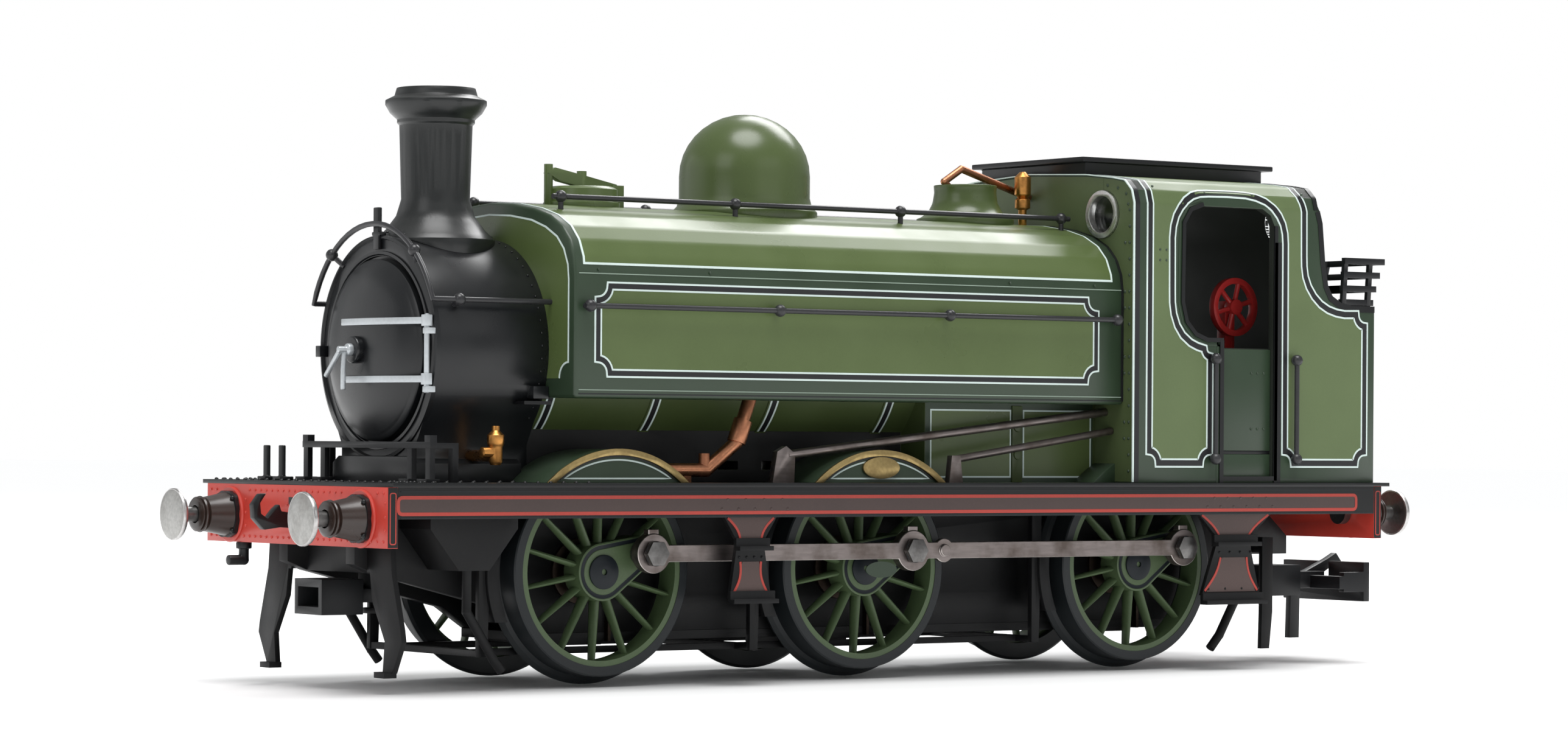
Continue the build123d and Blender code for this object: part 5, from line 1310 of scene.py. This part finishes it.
# ------------------------------------------------------------------ tank and cab
def sheet_outline(node, level):
    """Outline of a CAD node's largest flat face on its left side, in millimetres."""
    form = bmesh.new()
    form.from_mesh(frame["nodes"][node].data)
    bmesh.ops.remove_doubles(form, verts=form.verts, dist=4e-7)
    bmesh.ops.dissolve_limit(form, angle_limit=math.radians(0.6), verts=form.verts, edges=form.edges)
    best = None
    for face in form.faces:
        if face.normal.y < -0.99 and abs(face.calc_center_median().y / MM - level) < 0.1:
            if best is None or face.calc_area() > best.calc_area():
                best = face
    if best is None:
        raise RuntimeError("no flat side face on " + node)
    path = [((v.co.x - AXLE_X) / MM, (v.co.z - RAIL_Z) / MM) for v in best.verts]
    form.free()
    turn = sum(a[0] * b[1] - b[0] * a[1] for a, b in zip(path, path[1:] + path[:1]))
    return path if turn > 0 else path[::-1]


def longest_run(path, keep):
    """The longest stretch of a closed path whose points pass a test."""
    n = len(path)
    flags = [keep(u, v) for u, v in path]
    best = []
    for first in range(n):
        if flags[first] and not flags[first - 1]:
            run = []
            for k in range(n):
                if not flags[(first + k) % n]:
                    break
                run.append(path[(first + k) % n])
            if len(run) > len(best):
                best = run
    return best


class LOCO_OT_tank(bpy.types.Operator):
    """Saddle tank with its panels and lining"""
    bl_idname = "loco.tank"
    bl_label = "Saddle tank"

    def execute(self, context):
        refined("saddle_tank", "border_green", 0.30, segments=3, smooth=30)
        over = Wrap("saddle_tank", -3.0, 32.0, 33.0)
        form = Form()
        x0, x1, low = -33.35, 26.77, 36.32
        panel(form, [(x0, low), (x1, low), (x1, over.top), (x0, over.top)], over, "panel_green")
        stripe(form, [(x0, over.top), (x0, low), (x1, low), (x1, over.top)], over, -0.10, 0.10, "line_white",
               step=0.3)
        band = notched(-31.95, 24.75, 26.77, 34.38, 1.25)
        panel(form, band, over, "panel_green", flat=True)
        lined(form, band, over, closed=True, step=2.0)
        # The two pale lines are painted highlights along ridges of the tank sides.
        for v, colour in ((35.45, "painted_seam_highlight"), (25.3, "painted_seam_highlight"), (24.95, "line_black")):
            stripe(form, [(TANK_LO.x + 0.4, v), (TANK_HI.x - 0.3, v)], over, -0.045, 0.045, colour, step=4.0)
        face = front_sheet(TANK_LO.x)
        half = [(0, 41.0), (-3.5, 40.8), (-6.9, 40.3), (-9.2, 39.6), (-11.0, 38.7), (-12.1, 37.6), (-12.75, 36.2),
                (-12.9, 34.9)] + arc(-12.9, 26.3, 1.4, 90, 0)
        panel(form, half + [(0, 26.3)], face, "panel_green", flat=True)
        stripe(form, half, face, -0.08, 0.08, "line_white", step=0.7)
        form.both_sides().piece("tank_paint", "chassis", "tank_green", smooth=30)
        gasket = Form()
        seam = [(TANK_HI.x - 0.16, 24.9), (TANK_HI.x - 0.16, over.top)]
        stripe(gasket, seam, over, -0.16, 0.16, "line_black", step=0.5)
        gasket.both_sides().piece("tank_gasket", "chassis", "tank_green", smooth=30)
        spots = [(x, side * 13.92, 35.8, (0, side, 0)) for x in (-31.9, -20.0, 14.3, 24.6) for side in (-1, 1)]
        rivets("tank_rivets", spots, "border_green", "chassis")
        return {"FINISHED"}


class LOCO_OT_cab(bpy.types.Operator):
    """Cab and bunker: lined sides, dark edging, windows, controls and coal rails"""
    bl_idname = "loco.cab"
    bl_label = "Cab and bunker"

    def execute(self, context):
        shell = refined("cab_body", "border_green", 0.05, smooth=28).data
        # Faces inside the cab take a near-black green: painted shade in the cab.
        shell.materials.append(FINISH["cab_inside_shade"])
        low, high = at(CAB_LO.x + 0.4, CAB_LO.y + 0.4, FOOTPLATE), at(51.3, CAB_HI.y - 0.4, CAB_HI.z - 0.35)
        for face in shell.polygons:
            if all(low[k] < face.center[k] < high[k] for k in range(3)):
                face.material_index = 1
        over = Wrap("cab_body", 31.0, 32.0, 35.0)
        outline = sheet_outline("cab_body", CAB_LO.y)
        self.side_paint(over, outline)
        self.rear_paint()
        self.edging(outline)
        self.doors()
        self.rivet_rows()
        refined("spectacle_rims", "bright_steel", 0.05)
        dress("window_glass", "cab_glazing")
        refined("cab_backhead", "backhead_black", 0.06)
        refined("roof_ventilator", "moulded_black", 0.10)
        refined("brake_wheel", "wheel_red", 0.05, smooth=35)
        refined("coal_rails", "moulded_black", 0.10)
        self.front_coat()
        self.coal()
        return {"FINISHED"}

    def side_paint(self, over, outline):
        """Lined sides that run up over the roof, and the dark edge of the bunker."""
        form = Form()
        band = [(30.05, over.top)] + arc(30.05, 19.09, 1.15, 90, 0) + arc(37.7, 19.09, 1.15, 180, 90)
        band += arc(37.7, 30.05, 0.75, 270, 180, 4)
        band += [(36.1, 30.25), (35.2, 30.6), (34.2, 31.3), (33.5, 32.2), (33.05, 33.3), (32.87, 34.4),
                 (32.85, 35.5), (32.82, 40.6), (32.95, 41.7), (33.3, 42.7), (33.85, 43.5), (34.6, 44.2),
                 (35.5, 44.7), (36.5, 44.97), (37.6, 45.05), (40.0, 45.1), (42.4, 45.05), (43.7, 44.85),
                 (44.9, 44.45), (45.8, 43.85), (46.55, 43.1), (47.05, 42.3), (47.32, 41.4), (47.4, 40.4)]
        band += arc(47.45, 19.1, 1.15, 90, 0) + arc(58.0, 19.1, 1.15, 180, 90)
        band += arc(58.0, 33.75, 1.15, 270, 180)
        band += [(55.3, 33.72), (54.2, 33.85), (53.1, 34.15), (52.1, 34.65), (51.2, 35.4), (50.5, 36.3),
                 (50.05, 37.3), (49.88, 38.3), (49.85, 39.3), (49.82, 43.6), (49.7, 44.4), (49.45, 45.1),
                 (49.3, 46.0), (49.3, over.top)]
        panel(form, band, over, "cab_green")
        lined(form, band, over, step=0.3, width=0.17, black=0.55)
        stripe(form, [(28.05, 17.3), (28.05, over.top)], over, -0.10, 0.10, "line_white", step=0.3, lift=0.06)
        stripe(form, [(28.45, 17.3), (28.45, over.top)], over, -0.30, 0.30, "line_black", step=0.3, lift=0.05)
        rear = longest_run(outline, lambda u, v: u > 49.5 and v > 33.9)
        stripe(form, rear, side_sheet(-CAB_LO.y), 0.0, 0.62, "satin_black", step=0.6, lift=0.03)
        stripe(form, [(51.4, 43.8), (51.4, over.top)], over, -0.30, 0.25, "satin_black", step=0.3, lift=0.06)
        form.both_sides().piece("cab_paint", "chassis", "tank_green", smooth=30)

    def rear_paint(self):
        """The lined panel on the back of the bunker."""
        back, outer = Form(), rear_sheet(CAB_HI.x)
        border = notched(-13.2, 13.2, 19.3, 32.6, 1.15)
        panel(back, border, outer, "cab_green", flat=True)
        lined(back, border, outer, closed=True, step=0.6, width=0.17, black=0.55)
        back.piece("bunker_rear_paint", "chassis", "tank_green")

    def edging(self, outline):
        """Dark beading round the doorways and the posts beside them."""
        trim, side = Form(), side_sheet(-CAB_LO.y)
        opening = longest_run(outline, lambda u, v: 33.0 < u < 47.0 and v < 44.2)
        stripe(trim, opening, side, -0.02, 0.40, "satin_black", step=0.4, lift=0.10)
        stripe(trim, opening, side, 0.62, 0.78, "border_green", step=0.4, lift=0.03)
        trim.block(46.0, 46.85, CAB_LO.y - 0.10, CAB_LO.y + 0.1, FOOTPLATE, 40.5, "satin_black")
        trim.block(38.95, 39.45, CAB_LO.y - 0.12, CAB_LO.y + 0.1, FOOTPLATE, 30.9, "satin_black")
        trim.both_sides().piece("cab_edging", "chassis", "black_plastic", smooth=35)

    def doors(self):
        """The low doors in the doorways."""
        gate, y = Form(), CAB_DOOR_Y
        gate.block(39.45, 45.95, y - 0.35, y + 0.1, FOOTPLATE + 3.1, FOOTPLATE + 12.9, "border_green")
        gate.block(39.45, 45.95, y - 0.22, y + 0.1, FOOTPLATE + 2.75, FOOTPLATE + 3.1, "line_black")
        gate.block(39.45, 45.95, y - 0.35, y + 0.1, FOOTPLATE + 0.05, FOOTPLATE + 2.75, "border_green")
        gate.both_sides().piece("cab_doors", "chassis", "tank_green", bevel=0.04)

    def rivet_rows(self):
        """Rivets on the doors, sides and front of the cab."""
        dots, front = [], []
        for s in (-1, 1):
            for z in (FOOTPLATE + 10.6, FOOTPLATE + 5.2):
                dots += [(x, s * (0.35 - CAB_DOOR_Y), z, (0, s, 0)) for x in (43.5, 44.3, 45.1)]
            for x in (31.3, 32.1):
                for z in (38.4, 39.4):
                    dots.append((x, s * -CAB_LO.y, z, (0, s, 0)))
            for x, z in ((30.6, 45.4), (37.2, 45.0), (43.3, 45.0), (49.8, 45.3)):
                dots.append((x, s * 15.12, z, (0, s, 0.4)))
            for i in range(17):
                z = 18.3 + 1.55 * i
                front.append((CAB_LO.x, s * 14.75, z, (-1, 0, 0)))
                if i % 4 in (2, 3) and i < 15:
                    front.append((CAB_LO.x, s * 14.1, z, (-1, 0, 0)))
            for a, z in ((14.5, 44.0), (14.2, 45.0), (13.0, 45.6), (11.5, 45.9)):
                front.append((CAB_LO.x, s * a, z - 0.35, (-1, 0, 0)))
        rivets("cab_rivets", dots, "border_green", "chassis", radius=0.14, height=0.8)
        rivets("cab_front_rivets", front, "border_green", "chassis", radius=0.17, height=0.9)

    def front_coat(self):
        """Lighter paint on the front of the cab, either side of the tank."""
        form = Form()
        face = front_sheet(CAB_LO.x)
        window = [(-10.9 + 2.32 * math.sin(2 * math.pi * i / 40), 42.8 + 2.32 * math.cos(2 * math.pi * i / 40))
                  for i in range(41)]
        window[0], window[-1] = (-10.88, window[0][1]), (-10.92, window[-1][1])
        panel(form, [(-15.3, FOOTPLATE + 0.1), (-15.3, 43.7), (-14.95, 44.9), (-14.05, 45.75), (-12.25, 46.1),
                     (-10.92, 46.24)] + window[::-1] + [(-10.88, 46.25), (-8.4, 46.5), (0, 46.9), (0, FOOTPLATE + 4),
                                                        (-9.0, FOOTPLATE + 0.1)], face, "cab_front", flat=True)
        form.both_sides().piece("cab_front_paint", "chassis", "tank_green")

    def coal(self):
        """Broken lumps heaped in the bunker."""
        form = Form()
        pick = random.Random(7)
        x0, x1 = 52.2, CAB_HI.x - 1.2
        for _ in range(150):
            x, y = pick.uniform(x0 + 0.5, x1 - 0.5), pick.uniform(-12.6, 12.6)
            z = 31.2 + 1.3 * math.sin(math.pi * (x - x0) / (x1 - x0)) + pick.uniform(-0.7, 0.3)
            size = pick.uniform(0.55, 1.05)
            lump = bmesh.new()
            bmesh.ops.create_icosphere(lump, subdivisions=1, radius=1.0)
            squash = Vector((pick.uniform(0.8, 1.2), pick.uniform(0.8, 1.3), pick.uniform(0.55, 0.9)))
            lump.verts.index_update()
            verts = []
            for v in lump.verts:
                c = v.co * pick.uniform(0.78, 1.12)
                verts.append(at(x + c.x * size * squash.x, y + c.y * size * squash.y, z + c.z * size * squash.z))
            form.add(verts, [[v.index for v in f.verts] for f in lump.faces], "coal")
            lump.free()
        form.piece("coal_load", "chassis", "smokebox_black", smooth=12)


class LOCO_OT_handrails(bpy.types.Operator):
    """Handrails and their knobs"""
    bl_idname = "loco.handrails"
    bl_label = "Handrails"

    def execute(self, context):
        paths = []
        for s in (-1, 1):
            for y, z, knobs, ends, foot in (
                    (14.75, 32.6, (-33.3, -12.9, 6.5, 26.7), (-33.85, 27.0), (13.85, 32.6)),
                    (7.2, 42.45, (-31.5, -12.5, 6.5, 26.0), (-32.35, 27.0), (7.2, 41.3))):
                line = sorted([(ends[0], False), (ends[1], False)] + [(k, True) for k in knobs])
                paths.append([(x, s * y, z, k) for x, k in line])
                for k in knobs:
                    paths.append([(k, s * y, z, False), (k, s * foot[0], foot[1], False)])
            for x in (38.0, 48.5):
                paths.append([(x, s * 16.1, 19.3, False), (x, s * 16.1, 19.5, True), (x, s * 16.1, 29.1, True),
                              (x, s * 16.1, 29.3, False)])
                for z in (19.5, 29.1):
                    paths.append([(x, s * 16.1, z, False), (x, s * 15.45, z, False)])
        r, front = SMOKEBOX_R + 1.0, edges_of("handrails")[0].x + 0.28
        arch = [(front, y, z, False) for y, z in arc(0, BOILER_Z, r, 22, 158, 24)]
        y, z = arch[0][1], arch[0][2]
        bend = [(front + 0.9 * (1 - math.sin(math.radians(t))), y, z) for t in (0, 30, 60)]
        paths.append([(TANK_LO.x, y, z, False)] + [(*b, False) for b in bend] + arch
                     + [(b[0], -b[1], b[2], False) for b in reversed(bend)] + [(TANK_LO.x, -y, z, False)])
        for deg in (50, 130):
            across, up = math.cos(math.radians(deg)), math.sin(math.radians(deg))
            paths.append([(front, r * across, BOILER_Z + r * up, True),
                          (front + 0.8, (r - 1.3) * across, BOILER_Z + (r - 1.3) * up, False)])
        for s in (-1, 1):
            foot = (s * y * 0.87, BOILER_Z + (z - BOILER_Z) * 0.87)
            paths.append([(BOX_LO.x + 2.5, s * y, z, True), (BOX_LO.x + 2.5, *foot, False)])
        rails("handrails_finished", paths, "rail_wire", "chassis", sizes().rail_size, 0.56,
              ("handrails",))
        return {"FINISHED"}


class LOCO_OT_workings(bpy.types.Operator):
    """Motor, worm gear and weights"""
    bl_idname = "loco.workings"
    bl_label = "Motor and gears"

    def execute(self, context):
        refined("ballast", "iron_weight", 0.10)
        refined("motor_can", "bright_steel", 0.08)
        refined("motor_shaft", "bright_steel", 0.0)
        dress("brass", "worm")
        dress("nylon", "worm_wheel")
        return {"FINISHED"}


class LOCO_PT_panel(bpy.types.Panel):
    """Sizes, colours and the pieces in the order they are made"""
    bl_label = "Locomotive"
    bl_idname = "LOCO_PT_panel"
    bl_space_type = "VIEW_3D"
    bl_region_type = "UI"
    bl_category = "Locomotive"

    def draw(self, context):
        layout = self.layout
        for group in (context.scene.loco_sizes, context.scene.loco_colours):
            box = layout.box()
            for name in group.__annotations__:
                box.prop(group, name)
        for operator in OPERATORS:
            layout.operator(operator.bl_idname, text=operator.bl_label)


OPERATORS = (LOCO_OT_stage, LOCO_OT_underframe, LOCO_OT_wheels, LOCO_OT_rods, LOCO_OT_footplate, LOCO_OT_beams,
             LOCO_OT_smokebox, LOCO_OT_mountings, LOCO_OT_boiler, LOCO_OT_tank, LOCO_OT_cab, LOCO_OT_handrails,
             LOCO_OT_workings)
CLASSES = (LocoSizes, LocoColours) + OPERATORS + (LOCO_PT_panel,)


def register():
    for cls in CLASSES:
        bpy.utils.register_class(cls)
    bpy.types.Scene.loco_sizes = bpy.props.PointerProperty(type=LocoSizes)
    bpy.types.Scene.loco_colours = bpy.props.PointerProperty(type=LocoColours)


def unregister():
    del bpy.types.Scene.loco_colours
    del bpy.types.Scene.loco_sizes
    for cls in reversed(CLASSES):
        bpy.utils.unregister_class(cls)


def main():
    register()
    mix_finishes()
    for operator in OPERATORS:
        group, name = operator.bl_idname.split(".")
        if getattr(getattr(bpy.ops, group), name)() != {"FINISHED"}:
            raise RuntimeError(operator.bl_idname + " did not finish")


if __name__ == "__main__":
    main()
